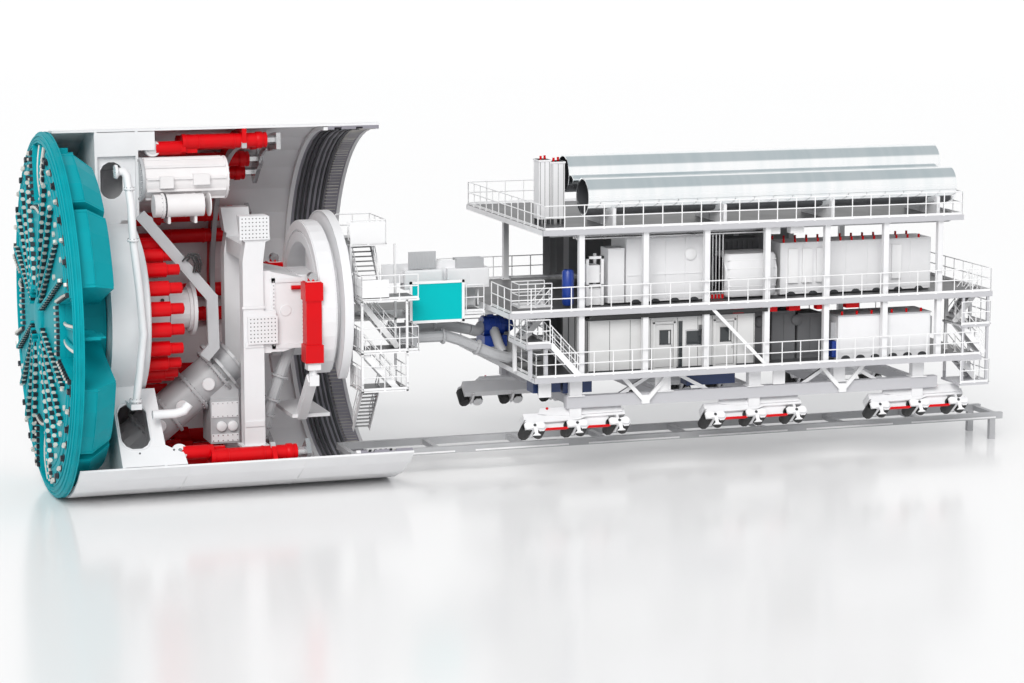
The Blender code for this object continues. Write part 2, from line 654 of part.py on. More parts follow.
def erector():
    column = [(COLUMN_FROM, 0.0), (COLUMN_TO, 0.0), (COLUMN_TO, 5.25), (COLUMN_TO + 0.06, 5.68),
              (COLUMN_TO + 0.17, 5.72), (COLUMN_TO + 0.12, 6.27), (COLUMN_FROM - 0.06, 6.27),
              (COLUMN_FROM + 0.02, 5.72), (COLUMN_FROM + 0.07, 5.68), (COLUMN_FROM, 5.25)]
    forms = []
    for side in (-1, 1):
        y0, y1 = sorted((side * COLUMN_INNER_Y, side * COLUMN_OUTER_Y))
        forms.append(side_plate(column, y0, y1))
        p0, p1 = sorted((side * (BEAM_HALF + SEAT), side * (COLUMN_OUTER_Y + 0.02)))
        forms.append(box(COLUMN_FROM + 0.10, COLUMN_TO + 0.28, p0, p1, 3.46, 4.12))
        forms.append(box(COLUMN_FROM - 0.08, COLUMN_TO + 0.08, y0 - 0.08, y1 + 0.08, 1.02, 1.07))
    forms.append(box(COLUMN_TO - 0.10, BLOCK_TO, -BEAM_HALF, BEAM_HALF, BEAM_LOW - 0.02, BEAM_HIGH + 0.02))
    forms.append(box(COLUMN_FROM + 0.05, COLUMN_TO - 0.05, -COLUMN_INNER_Y - 0.02, COLUMN_INNER_Y + 0.02, 5.25, 5.60))
    stand_r = CARRIER_BORE_R - SEAT / FLAT
    outside = turned([(3, stand_r), (6, stand_r), (6, SHIELD_R + 1), (3, SHIELD_R + 1)], -41.25, 41.25)
    node("support_frame", forms, WHITE, [outside])

    beam = [(BLOCK_TO + SEAT, BEAM_LOW), (4.95, BEAM_LOW), (BEAM_TO, BEAM_LOW + 0.16), (BEAM_TO, BEAM_HIGH - 0.19),
            (BLOCK_TO + SEAT, BEAM_HIGH)]
    forms = [side_plate(beam, -BEAM_HALF, BEAM_HALF),
             box(BEAM_TO - 0.1, NECK_TO, -NECK_HALF, NECK_HALF, NECK_LOW, NECK_HIGH)]
    node("erector_beam", forms, WHITE)

    low, high = Vector((4.42, SUCTION_Y, 1.02)), Vector((5.24, SUCTION_Y, 3.28))
    way = (high - low).normalized()
    forms = [rod(tuple(low), tuple(high), SUCTION_R, 10), rod(tuple(low + way * 0.20), tuple(low + way * 0.66), SUCTION_R + 0.04, 10)]
    under = [(3.9, BEAM_LOW - SEAT), (4.95, BEAM_LOW - SEAT), (BEAM_TO, BEAM_LOW + 0.16 - SEAT), (BEAM_TO, BEAM_HIGH),
             (3.9, BEAM_HIGH)]
    node("suction_pipe", forms, GREY, [side_plate(under, -BEAM_HALF - 0.5, 0)])

    running = ROTOR_BORE_R * FLAT - FIT      # the rotor's bearing
    collar = [(COLLAR_AT, COLLAR_BORE_R), (COLLAR_AT, running), (REAR_RING_AT, running),
              (REAR_RING_AT, REAR_RING_R), (REAR_RING_TO, REAR_RING_R), (REAR_RING_TO, COLLAR_BORE_R)]
    forms = [turned(collar, OPEN_HALF, 360 - OPEN_HALF, shift=0)]
    pad = NECK_HIGH + SEAT
    forms.append(box(BEAM_TO + 0.34, REAR_RING_TO - 0.02, -0.42, 0.42, pad, AXIS_Z + COLLAR_BORE_R + 0.05))
    for side in (-1, 1):
        y0, y1 = sorted((side * (NECK_HALF + SEAT), side * (COLLAR_BORE_R + 0.03)))
        forms.append(box(BEAM_TO + 0.34, REAR_RING_TO - 0.02, y0, y1, AXIS_Z - 0.2, AXIS_Z + 0.2))
    node("erector_carriage", forms, GREY, pivot=(COLLAR_AT, 0, AXIS_Z))

    ring = [(ROTOR_AT, ROTOR_BORE_R), (ROTOR_TO, ROTOR_BORE_R), (ROTOR_TO, ROTOR_R), (ROTOR_AT, ROTOR_R)]
    forms = [turned(ring, OPEN_HALF, 360 - OPEN_HALF)]
    cuts = []
    hole = (LIFT_ROD_R + FIT) / math.cos(math.pi / 8)
    for side in (-1, 1):
        y0, y1 = sorted((side * (LIFT_Y - LIFT_HALF), side * (LIFT_Y + LIFT_HALF)))
        forms.append(box(LIFT_AT - LIFT_HALF, LIFT_AT + LIFT_HALF, y0, y1, LIFT_LOW, LIFT_HIGH))
        for z in (3.25, 4.45):
            forms.append(box(LIFT_AT, ROTOR_AT + 0.05, y0 + 0.04, y1 - 0.04, z - 0.12, z + 0.12))
        cuts.append(rod((LIFT_AT, side * LIFT_Y, LIFT_LOW - 0.1), (LIFT_AT, side * LIFT_Y, LIFT_HIGH - 0.08), hole, 8,
                        False))
    node("erector_rotor", forms, GREY, cuts, pivot=(ROTOR_AT, 0, AXIS_Z), parent="erector_carriage")

    forms = [box(HEAD_PLATE_FROM, HEAD_PLATE_TO, -HEAD_PLATE_HALF, HEAD_PLATE_HALF, HEAD_PLATE_Z,
                 HEAD_PLATE_Z + HEAD_PLATE_THICK)]
    for side in (-1, 1):
        foot = (LIFT_AT, side * LIFT_Y, LIFT_LOW - 0.22)
        forms.append(rod(foot, (LIFT_AT, side * LIFT_Y, LIFT_HIGH - 0.10), LIFT_ROD_R, 8))
        forms.append(box(LIFT_AT - 0.11, LIFT_AT + 0.11, *sorted((side * (LIFT_Y - 0.13), side * (LIFT_Y + 0.13))),
                         LIFT_LOW - 0.36, LIFT_LOW - 0.12))
        forms.append(bar((LIFT_AT - 0.03, side * (LIFT_Y + 0.02), LIFT_LOW - 0.20),
                         (LIFT_AT - 0.06, side * (HEAD_PLATE_HALF - 0.10), HEAD_PLATE_Z + 0.02), 0.22, 0.20))
    node("erector_head", forms, GREY, pivot=(LIFT_AT, 0, LIFT_LOW), parent="erector_rotor")


def tower_and_bridge():
    post = 0.05
    forms = []
    decks = ((4.40, TOWER_NEAR, TOWER_FAR, TOWER_TO), (3.22, TOWER_NEAR, TOWER_FAR, TOWER_TO),
             (2.35, TOWER_NEAR, TOWER_FAR, TOWER_TO - 0.25))
    for z, near, far, to in decks:
        forms.append(box(TOWER_AT, to, near, far, z - DECK_THICK, z))
    forms.append(box(TOWER_AT, TOWER_TO - 0.5, TOWER_FAR - 0.1, 0.10, 5.50, 5.50 + DECK_THICK))
    for s in (TOWER_AT, TOWER_TO - 0.31):
        for y in (TOWER_NEAR, TOWER_FAR - post):
            top = 5.53 if y > TOWER_NEAR else 4.39
            forms.append(box(s, s + post, y, y + post, 2.31, top))
    # the stairs: down to the invert, and between the decks
    forms.append(bar((6.85, -1.55, 2.34), (6.85, -0.62, 1.18), 0.36, 0.05))
    forms.append(bar((TOWER_AT + 0.06, -1.90, 3.20), (7.30, -1.90, 2.34), 0.40, 0.05))
    forms.append(bar((TOWER_AT + 0.06, -1.45, 4.38), (7.45, -1.45, 3.21), 0.40, 0.05))
    forms.append(bar((6.90, -1.25, 4.40), (6.90, -0.35, 5.50), 0.50, 0.05))
    # the shelf that ties the tower to the bridge
    forms.append(box(TOWER_AT, TOWER_TO - 0.26, TOWER_FAR - post, -BRIDGE_HALF - SEAT, WALK_Z - 0.07, WALK_Z - 0.02))
    node("access_tower", forms, WHITE)

    forms = [box(BRIDGE_FROM, MID_FROM + 0.5, -BRIDGE_HALF, BRIDGE_HALF, BRIDGE_LOW, BRIDGE_HIGH)]
    forms.append(box(TOWER_TO + 0.06, MID_FROM - 0.10, WALK_NEAR, -BRIDGE_HALF + 0.05, WALK_Z - 0.05, WALK_Z))
    forms.append(box(8.35, MID_FROM - 0.06, -0.55, 0.15, BRIDGE_HIGH - 0.02, 4.66))
    node("bridge_beam", forms, WHITE)

    node("sign_board", [box(SIGN_FROM, SIGN_TO, WALK_NEAR - SEAT - SIGN_THICK, WALK_NEAR - SEAT, SIGN_LOW, SIGN_HIGH)], TEAL)

    y = -0.95
    forms = [pipe([(7.50, y, 3.32), (8.80, y, 3.32), (9.15, y, 3.20), (9.95, y, 2.84), (10.30, y, 2.74),
                   (11.10, y, 2.74)], SLURRY_R, 10),
             pipe([(7.50, y + 0.32, 3.50), (9.00, y + 0.32, 3.50), (9.45, y + 0.32, 3.40)], SLURRY_R, 10),
             cross_plate([(y - 0.20, 3.12), (y + 0.50, 3.12), (y + 0.50, BRIDGE_LOW - 0.06), (-BRIDGE_HALF - 0.04, 3.66),
                          (-BRIDGE_HALF - 0.04, WALK_Z - 0.05 - SEAT), (y - 0.20, WALK_Z - 0.05 - SEAT)], 7.95, 8.05)]
    node("slurry_pipes", forms, GREY)

    forms = [box(9.85, 10.40, -0.58, 0.05, 2.95, 3.20), rod((9.88, -0.27, 3.40), (10.37, -0.27, 3.40), 0.24, 12),
             box(9.98, 10.13, -0.35, -0.20, 3.5, BRIDGE_LOW - SEAT)]
    node("slurry_pump", forms, BLUE)


def gantry():
    forms = []
    for z, s0, s1 in ((LOW_DECK_Z, LOW_FROM, LOW_TO), (MID_DECK_Z, MID_FROM, MID_TO), (ROOF_Z, ROOF_FROM, ROOF_TO)):
        forms.append(box(s0, s1, -GANTRY_HALF, GANTRY_HALF, z - SHEET, z))
        for side in (-1, 1):
            y0, y1 = sorted((side * GANTRY_HALF, side * (GANTRY_HALF - 0.05)))
            forms.append(box(s0, s1, y0, y1, z - EDGE, z - BITE))
        for s in (s0, s1 - 0.05):
            forms.append(box(s, s + 0.05, -GANTRY_HALF + 0.02, GANTRY_HALF - 0.02, z - EDGE, z - BITE))
    for s in POSTS:
        for side in (-1, 1):
            y0, y1 = side * POST_Y - POST / 2, side * POST_Y + POST / 2
            forms.append(box(s - POST / 2, s + POST / 2, y0, y1, LOW_DECK_Z - EDGE, ROOF_Z - BITE))
    for side in (-1, 1):
        y0, y1 = side * SILL_Y - SILL_HALF, side * SILL_Y + SILL_HALF
        forms.append(box(SILL_FROM, SILL_TO, y0, y1, SILL_LOW, SILL_HIGH))
        for s in CROSSES:
            forms.append(box(s - 0.15, s + 0.15, y0 + 0.01, y1 - 0.01, SILL_HIGH - BITE, LOW_DECK_Z - BITE))
        for s0, s1 in ((12.50, 13.45), (14.70, 13.75), (17.05, 17.90), (19.00, 18.10)):
            forms.append(bar((s0, side * SILL_Y, SILL_HIGH - 0.03), (s1, side * SILL_Y, LOW_DECK_Z - 0.05), 0.08, 0.08))
    for s in CROSSES:
        forms.append(box(s - 0.10, s + 0.10, -SILL_Y, SILL_Y, SILL_LOW + 0.03, SILL_HIGH - 0.03))
    # the front landing on its four legs, with a stair down from it and one up through the middle deck
    edge, stair, upper = FRONT_LANDING_IN - GANTRY_HALF, STAIR_IN - GANTRY_HALF, UPPER_STAIR_IN - GANTRY_HALF
    forms.append(box(10.10, 10.69, -GANTRY_HALF, edge, FRONT_LANDING_Z - 0.10, FRONT_LANDING_Z))
    for s in (10.18, 10.55):
        for y in (-GANTRY_HALF + 0.06, edge - 0.14):
            forms.append(box(s, s + 0.08, y, y + 0.08, LOW_DECK_Z - BITE, FRONT_LANDING_Z - BITE))
    forms.append(bar((10.68, stair, FRONT_LANDING_Z - 0.03), (11.38, stair, LOW_DECK_Z - 0.01), 0.40, 0.05))
    forms.append(bar((10.30, upper, FRONT_LANDING_Z - 0.02), (10.97, upper, MID_DECK_Z - 0.03), 0.40, 0.05))
    near, far = -GANTRY_HALF, LANDING_WIDE - GANTRY_HALF
    for z in (LANDING_Z, FOOT_LANDING_Z):
        forms.append(box(20.95, 21.70, near, far, z - 0.05, z))
    for s, y in ((20.98, near + 0.02), (21.62, near + 0.02), (20.98, far - 0.08), (21.62, far - 0.08)):
        forms.append(box(s, s + 0.06, y, y + 0.06, FOOT_LANDING_Z - 0.02, MID_DECK_Z - BITE))
    forms.append(bar((20.98, near + 0.28, LANDING_Z - 0.02), (21.60, near + 0.28, LOW_DECK_Z), 0.40, 0.05))
    forms.append(bar((21.66, near + 0.74, MID_DECK_Z - 0.02), (21.02, near + 0.74, LANDING_Z - 0.02), 0.40, 0.05))
    hole = box(10.22, 10.95, upper - 0.23, upper + 0.23, MID_DECK_Z - 0.3, MID_DECK_Z + 0.3)
    node("gantry_frame", forms, WHITE, [hole])


def bogies():
    for number, middle in enumerate(BOGIES, 1):
        for name, side in (("near", -1), ("far", 1)):
            a = math.radians(ROLLER_ANGLE)
            out = Vector((0, side * math.sin(a), -math.cos(a)))        # away from the machine's axis
            up = Vector((0, side * math.cos(a), math.sin(a)))          # along the axles, towards the outer end
            centre = Vector((0, 0, AXIS_Z)) + out * ROLLER_ORBIT

            def block(s0, s1, o0, o1, t0, t1):
                """A block along the machine, outwards and along the axles."""
                corners = ((o0, t0), (o1, t0), (o1, t1), (o0, t1))
                ends = [[tuple(Vector((s, 0, 0)) + centre + out * o + up * t) for o, t in corners] for s in (s0, s1)]
                return prism(*ends)

            def along_axle(s, t0, t1, r, half_turn=True):
                p, q = centre + up * t0, centre + up * t1
                return rod((s, p.y, p.z), (s, q.y, q.z), r, ROLLER_FACETS, half_turn)

            forms, cuts = [], []
            edge = ROLLER_HALF + 0.01
            bore = (AXLE_R + FIT) / math.cos(math.pi / ROLLER_FACETS)
            first = middle - UNIT_STEP
            for k in range(3):
                s = first + k * UNIT_STEP
                forms.append(block(s - CAP_HALF, s + CAP_HALF, -CAP_RISE, CAP_RISE, edge, edge + CAP_THICK))
                forms.append(block(s - 0.03, s + 0.03, -0.30, 0.05, -edge, edge + 0.02))
                forms.append(along_axle(s + ROLLER_PITCH / 2, -ROLLER_HALF, edge + 0.01, ROLLER_R))
                cuts.append(along_axle(s - ROLLER_PITCH / 2, edge - 0.1, edge + 0.1, bore, False))
            forms.append(block(first - 0.20, first + 2 * UNIT_STEP + 0.20, -0.34, -0.18, -0.14, 0.22))
            y = centre.y
            forms.append(box(middle - 0.14, middle + 0.14, y - 0.09, y + 0.09, centre.z + 0.28, SILL_LOW - SEAT))
            frame = node(f"bogie_{number}_{name}", forms, WHITE, cuts)
            for k in range(3):
                s = first + k * UNIT_STEP - ROLLER_PITCH / 2
                node(f"roller_{number}_{name}_{k + 1}",
                     [along_axle(s, -ROLLER_HALF, ROLLER_HALF, ROLLER_R),
                      along_axle(s, ROLLER_HALF - 0.02, edge + CAP_THICK - 0.01, AXLE_R)],
                     DARK, pivot=(s, centre.y, centre.z), parent=frame.name)


def on_the_decks():
    floor = LOW_DECK_Z + SEAT
    wall = 0.05
    forms = [box(CABIN_FROM, CABIN_TO, CABIN_NEAR, CABIN_FAR, floor, CABIN_HIGH)]
    cuts = [box(CABIN_FROM + wall, CABIN_TO - wall, CABIN_NEAR + wall, CABIN_FAR - wall, floor + wall,
                CABIN_HIGH - wall)]
    for s in DOORS:
        cuts.append(box(s, s + DOOR_WIDTH, CABIN_NEAR - 0.1, CABIN_NEAR + 0.1, floor + wall, DOOR_HIGH))
    for s in (12.1, 15.5):
        cuts.append(box(s - 0.2, s + 0.2, CABIN_FAR - 0.1, CABIN_FAR + 0.1, floor + 0.45, floor + 0.90))
    node("cabin", forms, WHITE, cuts)
    gap = DOOR_GAP
    sill = floor + wall
    for number, s in enumerate(DOORS, 1):
        leaf = box(s + gap, s + DOOR_WIDTH - gap, CABIN_NEAR, CABIN_NEAR + DOOR_THICK, sill + gap, DOOR_HIGH - gap)
        light = box(s + 0.12, s + DOOR_WIDTH - 0.12, CABIN_NEAR - 0.1, CABIN_NEAR + 0.1, floor + 0.60, floor + 0.90)
        hinge = (s + gap + PIN_R, CABIN_NEAR + DOOR_THICK - PIN_R)
        pins = [rod((*hinge, z0), (*hinge, z1), PIN_R, 8)
                for z0, z1 in ((sill + SEAT, sill + gap + BITE), (DOOR_HIGH - gap - BITE, DOOR_HIGH - SEAT))]
        node(f"cabin_door_{number}", [leaf, *pins], WHITE, [light], pivot=(*hinge, sill), parent="cabin")

    base = MID_DECK_Z + SEAT
    y = CABINET_IN - GANTRY_HALF
    forms = [box(12.30, 20.55, y + 0.30, y + 0.60, base, base + 0.08),
             box(12.30, 12.70, y, y + 0.50, base + 0.04, base + 1.30),
             box(12.74, 14.66, y, y + 1.00, base + 0.04, base + 1.53),
             rod((15.20, y + 0.45, base + 0.57), (16.50, y + 0.45, base + 0.57), 0.46, 14),
             box(15.40, 15.60, y + 0.15, y + 0.75, base + 0.04, base + 0.45),
             box(16.10, 16.30, y + 0.15, y + 0.75, base + 0.04, base + 0.45),
             box(16.62, 20.50, y + 0.10, y + 0.90, base + 0.04, base + 1.25)]
    node("middle_cabinets", forms, WHITE)
    node("lower_cabinet", [box(17.90, 20.28, CABIN_NEAR, CABIN_NEAR + 0.90, floor, floor + 1.02)], WHITE)

    base = ROOF_Z + SEAT
    y = TANK_IN - GANTRY_HALF
    forms = [box(10.84, 11.58, y - 0.21, y + 0.21, base, base + 0.06)]
    for s in (11.03, 11.39):
        forms.append(rod((s, y, base + 0.04), (s, y, base + TANK_TALL), 0.17, 12))
    node("roof_tanks", forms, WHITE)

    near = (NEAR_DUCT_IN - GANTRY_HALF, ROOF_Z + NEAR_DUCT_UP)
    far = (FAR_DUCT_IN - GANTRY_HALF, ROOF_Z + FAR_DUCT_UP)
    forms = [rod((DUCT_FROM, y, z), (DUCT_TO, y, z), DUCT_R, 16) for y, z in (near, far)]
    cuts = [rod((DUCT_FROM - 0.1, y, z), (DUCT_TO + 0.1, y, z), DUCT_R - DUCT_WALL, 16) for y, z in (near, far)]
    for s in (12.2, 14.9, 17.6, 20.3):
        y0, y1 = near[0] - 0.30, far[0] + 0.36
        saddle = cross_plate([(y0, base), (y1, base), (y1, far[1]), (y0, near[1])], s, s + 0.08)
        forms.append(saddle)
    node("air_ducts", forms, STEEL, cuts)

    forms = []
    for side in (-1, 1):
        y0, y1 = sorted((side * FEEDER_INNER, side * FEEDER_OUTER))
        forms.append(box(FEEDER_FROM, FEEDER_TO, y0, y1, FEEDER_LOW, FEEDER_HIGH))
        forms.append(box(FEEDER_TO - 0.35, FEEDER_TO - 0.20, y0, y1, 0, FEEDER_LOW + BITE))
        forms.append(box(FEEDER_FROM + 0.1, FEEDER_FROM + 0.25, y0, y1, 0.1, FEEDER_LOW + BITE))
    s = FEEDER_FROM
    while s < FEEDER_TO - 0.2:
        forms.append(box(s, s + 0.12, -FEEDER_INNER - 0.02, FEEDER_INNER + 0.02, FEEDER_LOW + 0.02, FEEDER_HIGH - 0.02))
        s += 2.06
    inner = turned([(6, SEAL_R - SEAT), (8, SEAL_R - SEAT), (8, SHIELD_R + 1), (6, SHIELD_R + 1)], -41.25, 41.25)
    node("segment_feeder", forms, GREY, [inner])


shield()
drive()
behind_drive()
thrust()
erector()
tower_and_bridge()
gantry()
bogies()
on_the_decks()
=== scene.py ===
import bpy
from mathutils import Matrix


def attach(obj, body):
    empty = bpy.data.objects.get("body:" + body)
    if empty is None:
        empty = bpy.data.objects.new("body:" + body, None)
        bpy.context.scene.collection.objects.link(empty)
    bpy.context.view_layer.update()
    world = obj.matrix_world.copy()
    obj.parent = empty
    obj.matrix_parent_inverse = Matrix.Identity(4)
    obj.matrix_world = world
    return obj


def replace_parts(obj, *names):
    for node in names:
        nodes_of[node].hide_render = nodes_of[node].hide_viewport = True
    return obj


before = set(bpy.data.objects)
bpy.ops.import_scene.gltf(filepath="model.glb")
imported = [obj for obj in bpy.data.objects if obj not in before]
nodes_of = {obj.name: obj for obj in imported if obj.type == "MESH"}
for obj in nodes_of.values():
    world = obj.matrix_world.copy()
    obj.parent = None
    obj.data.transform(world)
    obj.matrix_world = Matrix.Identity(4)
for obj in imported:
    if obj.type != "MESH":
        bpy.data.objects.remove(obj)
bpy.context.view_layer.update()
# Tunnel boring machine at half size, dressed on its CAD frame.
# Places are written as on the drawing: a station behind the shield's front edge, a distance to the far side (+)
# or near side (-) of the machine's centre plane, and a height over the floor, all in metres.

import math
import bmesh
import bpy
from mathutils import Matrix, Vector

# ------------------------------------------------------------------ camera, floor and light
# A long lens from well back on the near side and a little above the roof. The floor is a pale polished slab, and
# the ceiling of the white room is greyer, so that bare metal has something to reflect.
FACE = -3.76                      # x of station 0

lens = bpy.data.cameras.new("long lens")
lens.lens, lens.sensor_width, lens.clip_end = 101.74, 36.0, 400.0
camera = bpy.data.objects.new("camera", lens)
camera.location = (-14.075, -63.875, 13.52)
camera.rotation_euler = (math.radians(90 - 8.93), 0, math.radians(-18.22))
bpy.context.scene.collection.objects.link(camera)
bpy.context.scene.camera = camera
bpy.context.scene.view_settings.view_transform = "Standard"

slab = bpy.data.materials.new("polished slab")
slab.use_nodes = True
gloss = slab.node_tree.nodes["Principled BSDF"]
gloss.inputs["Base Color"].default_value = (0.97, 0.97, 0.972, 1)
gloss.inputs["Roughness"].default_value = 0.16
gloss.inputs["IOR"].default_value = 1.28
size = 400.0
floor_mesh = bpy.data.meshes.new("floor")
floor_mesh.from_pydata([(-size, -size, -0.001), (size, -size, -0.001), (size, size, -0.001), (-size, size, -0.001)],
                       [], [(0, 1, 2, 3)])
floor_mesh.materials.append(slab)
floor = bpy.data.objects.new("floor", floor_mesh)
bpy.context.scene.collection.objects.link(floor)

room = bpy.data.worlds.new("studio")
bpy.context.scene.world = room
room.use_nodes = True
tree = room.node_tree
tree.nodes.clear()
out = tree.nodes.new("ShaderNodeOutputWorld")
seen, fill, pick = (tree.nodes.new(kind)
                    for kind in ("ShaderNodeBackground", "ShaderNodeBackground", "ShaderNodeMixShader"))
path, either = tree.nodes.new("ShaderNodeLightPath"), tree.nodes.new("ShaderNodeMath")
either.operation, either.use_clamp = "ADD", True
third = tree.nodes.new("ShaderNodeMath")
third.operation, third.use_clamp = "ADD", True
tree.links.new(path.outputs["Is Camera Ray"], either.inputs[0])
tree.links.new(path.outputs["Is Glossy Ray"], either.inputs[1])
tree.links.new(either.outputs[0], third.inputs[0])
tree.links.new(path.outputs["Is Transmission Ray"], third.inputs[1])
tree.links.new(third.outputs[0], pick.inputs[0])
tree.links.new(fill.outputs[0], pick.inputs[1])
tree.links.new(seen.outputs[0], pick.inputs[2])
tree.links.new(pick.outputs[0], out.inputs[0])
fill.inputs["Color"].default_value = (0.97, 0.98, 1.0, 1)
fill.inputs["Strength"].default_value = 0.60
where, apart, ceiling = (tree.nodes.new(kind) for kind in
                         ("ShaderNodeTexCoord", "ShaderNodeSeparateXYZ", "ShaderNodeValToRGB"))
tree.links.new(where.outputs["Generated"], apart.inputs[0])
ceiling.color_ramp.elements[0].position, ceiling.color_ramp.elements[0].color = 0.62, (1, 1, 1, 1)
ceiling.color_ramp.elements[1].position, ceiling.color_ramp.elements[1].color = 0.74, (0.50, 0.55, 0.57, 1)
tree.links.new(apart.outputs["Z"], ceiling.inputs["Fac"])
tree.links.new(ceiling.outputs["Color"], seen.inputs["Color"])

key = bpy.data.lights.new("key", "SUN")
key.energy, key.angle, key.color = 2.3, math.radians(35), (1.0, 0.99, 0.97)
key_lamp = bpy.data.objects.new("key", key)
key_lamp.rotation_euler = (math.radians(56), 0, math.radians(-28))
bpy.context.scene.collection.objects.link(key_lamp)

# ------------------------------------------------------------------ cutterhead
# One welded steel wheel, primed and painted teal, that turns on the drive's shaft. Disc cutters in dark housings
# stand on its spokes, and hard-faced scrapers line the openings that the ground comes in through.
AXIS_Z = 4.0844


def painted(name, colour, rough=0.36, dirt=0.10, metal=0.0, grain=240.0):
    """A sprayed coat: a little dust that gathers unevenly, and the skin of the paint as a fine bump."""
    coat = bpy.data.materials.new(name)
    coat.use_nodes = True
    tree = coat.node_tree
    shader = tree.nodes["Principled BSDF"]
    shader.inputs["Metallic"].default_value = metal
    place = tree.nodes.new("ShaderNodeTexCoord")
    cloud, skin = tree.nodes.new("ShaderNodeTexNoise"), tree.nodes.new("ShaderNodeTexNoise")
    cloud.inputs["Scale"].default_value, cloud.inputs["Detail"].default_value = 1.3, 6.0
    skin.inputs["Scale"].default_value, skin.inputs["Detail"].default_value = grain, 2.0
    for noise in (cloud, skin):
        tree.links.new(place.outputs["Object"], noise.inputs["Vector"])
    tone = tree.nodes.new("ShaderNodeMapRange")
    tone.inputs["From Min"].default_value, tone.inputs["From Max"].default_value = 0.35, 0.70
    tone.inputs["To Min"].default_value, tone.inputs["To Max"].default_value = 0.0, 1.0
    blend = tree.nodes.new("ShaderNodeMix")
    blend.data_type = "RGBA"
    blend.inputs["A"].default_value = (*colour, 1)
    blend.inputs["B"].default_value = (*(c * (1 - dirt) + 0.02 * dirt for c in colour), 1)
    tree.links.new(cloud.outputs["Fac"], tone.inputs["Value"])
    tree.links.new(tone.outputs[0], blend.inputs["Factor"])
    tree.links.new(blend.outputs["Result"], shader.inputs["Base Color"])
    gloss = tree.nodes.new("ShaderNodeMapRange")
    gloss.inputs["To Min"].default_value, gloss.inputs["To Max"].default_value = rough - 0.05, rough + 0.09
    tree.links.new(cloud.outputs["Fac"], gloss.inputs["Value"])
    tree.links.new(gloss.outputs[0], shader.inputs["Roughness"])
    bump = tree.nodes.new("ShaderNodeBump")
    bump.inputs["Strength"].default_value, bump.inputs["Distance"].default_value = 0.06, 0.002
    tree.links.new(skin.outputs["Fac"], bump.inputs["Height"])
    tree.links.new(bump.outputs[0], shader.inputs["Normal"])
    return coat


def coated(coat, *names):
    """Gives these CAD pieces their finish."""
    for name in names:
        piece = nodes_of[name]
        for place in piece.material_slots:
            place.material = coat


def fitted(name, forms, finish, body="machine", round_off=38):
    """One piece made of closed forms, each (points, faces) by station, side and height, and fixed to a body."""
    mesh = bpy.data.meshes.new(name)
    points, faces = [], []
    for form_points, form_faces in forms:
        faces += [tuple(i + len(points) for i in face) for face in form_faces]
        points += [(s + FACE, y, z) for s, y, z in form_points]
    mesh.from_pydata(points, [], faces)
    shape = bmesh.new()
    shape.from_mesh(mesh)
    bmesh.ops.recalc_face_normals(shape, faces=shape.faces)
    shape.to_mesh(mesh)
    shape.free()
    mesh.shade_smooth()
    mesh.set_sharp_from_angle(angle=math.radians(round_off))
    mesh.materials.append(finish)
    piece = bpy.data.objects.new(name, mesh)
    bpy.context.scene.collection.objects.link(piece)
    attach(piece, body)
    return piece


def between(rings, cap=True):
    """A closed form through rings of points, one after another."""
    n = len(rings[0])
    faces = [tuple(range(n)), tuple((len(rings) - 1) * n + i for i in range(n))] if cap else []
    for k in range(len(rings) - 1):
        faces += [(k * n + i, k * n + (i + 1) % n, (k + 1) * n + (i + 1) % n, (k + 1) * n + i) for i in range(n)]
    return [tuple(p) for ring in rings for p in ring], faces


def block(s0, s1, y0, y1, z0, z1):
    return between([[(s, y0, z0), (s, y1, z0), (s, y1, z1), (s, y0, z1)] for s in (s0, s1)])


def frame_at(way):
    """Two unit vectors square to a direction, the first as level as can be."""
    way = Vector(way).normalized()
    side = way.cross(Vector((0, 0, 1)))
    side = side.normalized() if side.length > 1e-6 else Vector((1, 0, 0))
    return side, side.cross(way).normalized()


def bar(a, b, wide, deep):
    """A flat bar between two places, wide sideways and deep upwards."""
    side, up = frame_at(Vector(b) - Vector(a))
    return between([[Vector(e) + side * (i * wide / 2) + up * (j * deep / 2)
                     for i, j in ((-1, -1), (1, -1), (1, 1), (-1, 1))] for e in (a, b)])


def barrel(a, b, steps, n=20):
    """A round form turned about the line from a to b: steps are (share of the length, radius)."""
    a, b = Vector(a), Vector(b)
    side, up = frame_at(b - a)
    return between([[a + (b - a) * t + side * (r * math.cos(2 * math.pi * i / n)) +
                     up * (r * math.sin(2 * math.pi * i / n))
                     for i in range(n)] for t, r in steps])


def tube(path, r, n=8):
    """A round bar or hose through places, mitred where it bends."""
    path = [Vector(p) for p in path]
    ways = [(q - p).normalized() for p, q in zip(path, path[1:])]
    side, up = frame_at(ways[0])
    rings = [[path[0] + side * (r * math.cos(2 * math.pi * i / n)) + up * (r * math.sin(2 * math.pi * i / n))
              for i in range(n)]]
    for k in range(1, len(path)):
        ahead = ways[k] if k < len(ways) else ways[k - 1]
        cut = (ways[k - 1] + ahead).normalized()
        rings.append([p + ways[k - 1] * ((path[k] - p).dot(cut) / ways[k - 1].dot(cut)) for p in rings[-1]])
    return between(rings)


def around(r, angle):
    """Side and height of a place round the machine's axis, by its angle from the bottom towards the far side."""
    a = math.radians(angle)
    return r * math.sin(a), AXIS_Z - r * math.cos(a)


def hoop(s0, s1, r0, r1, a0=0.0, a1=360.0, n=72):
    """A ring, or part of one, round the machine's axis."""
    whole = a1 - a0 >= 359.999
    count = max(2, round(n * (a1 - a0) / 360))
    rings = []
    for k in range(count if whole else count + 1):
        angle = a0 + (a1 - a0) * k / count
        rings.append([(s, *around(r, angle)) for s, r in ((s0, r0), (s1, r0), (s1, r1), (s0, r1))])
    if whole:
        rings.append(rings[0])
    points, faces = between(rings, cap=not whole)
    if whole:                                   # the last ring is the first one
        last = len(points) - 4
        faces = [tuple(i - last if i >= last else i for i in face) for face in faces]
        points = points[:last]
    return points, faces


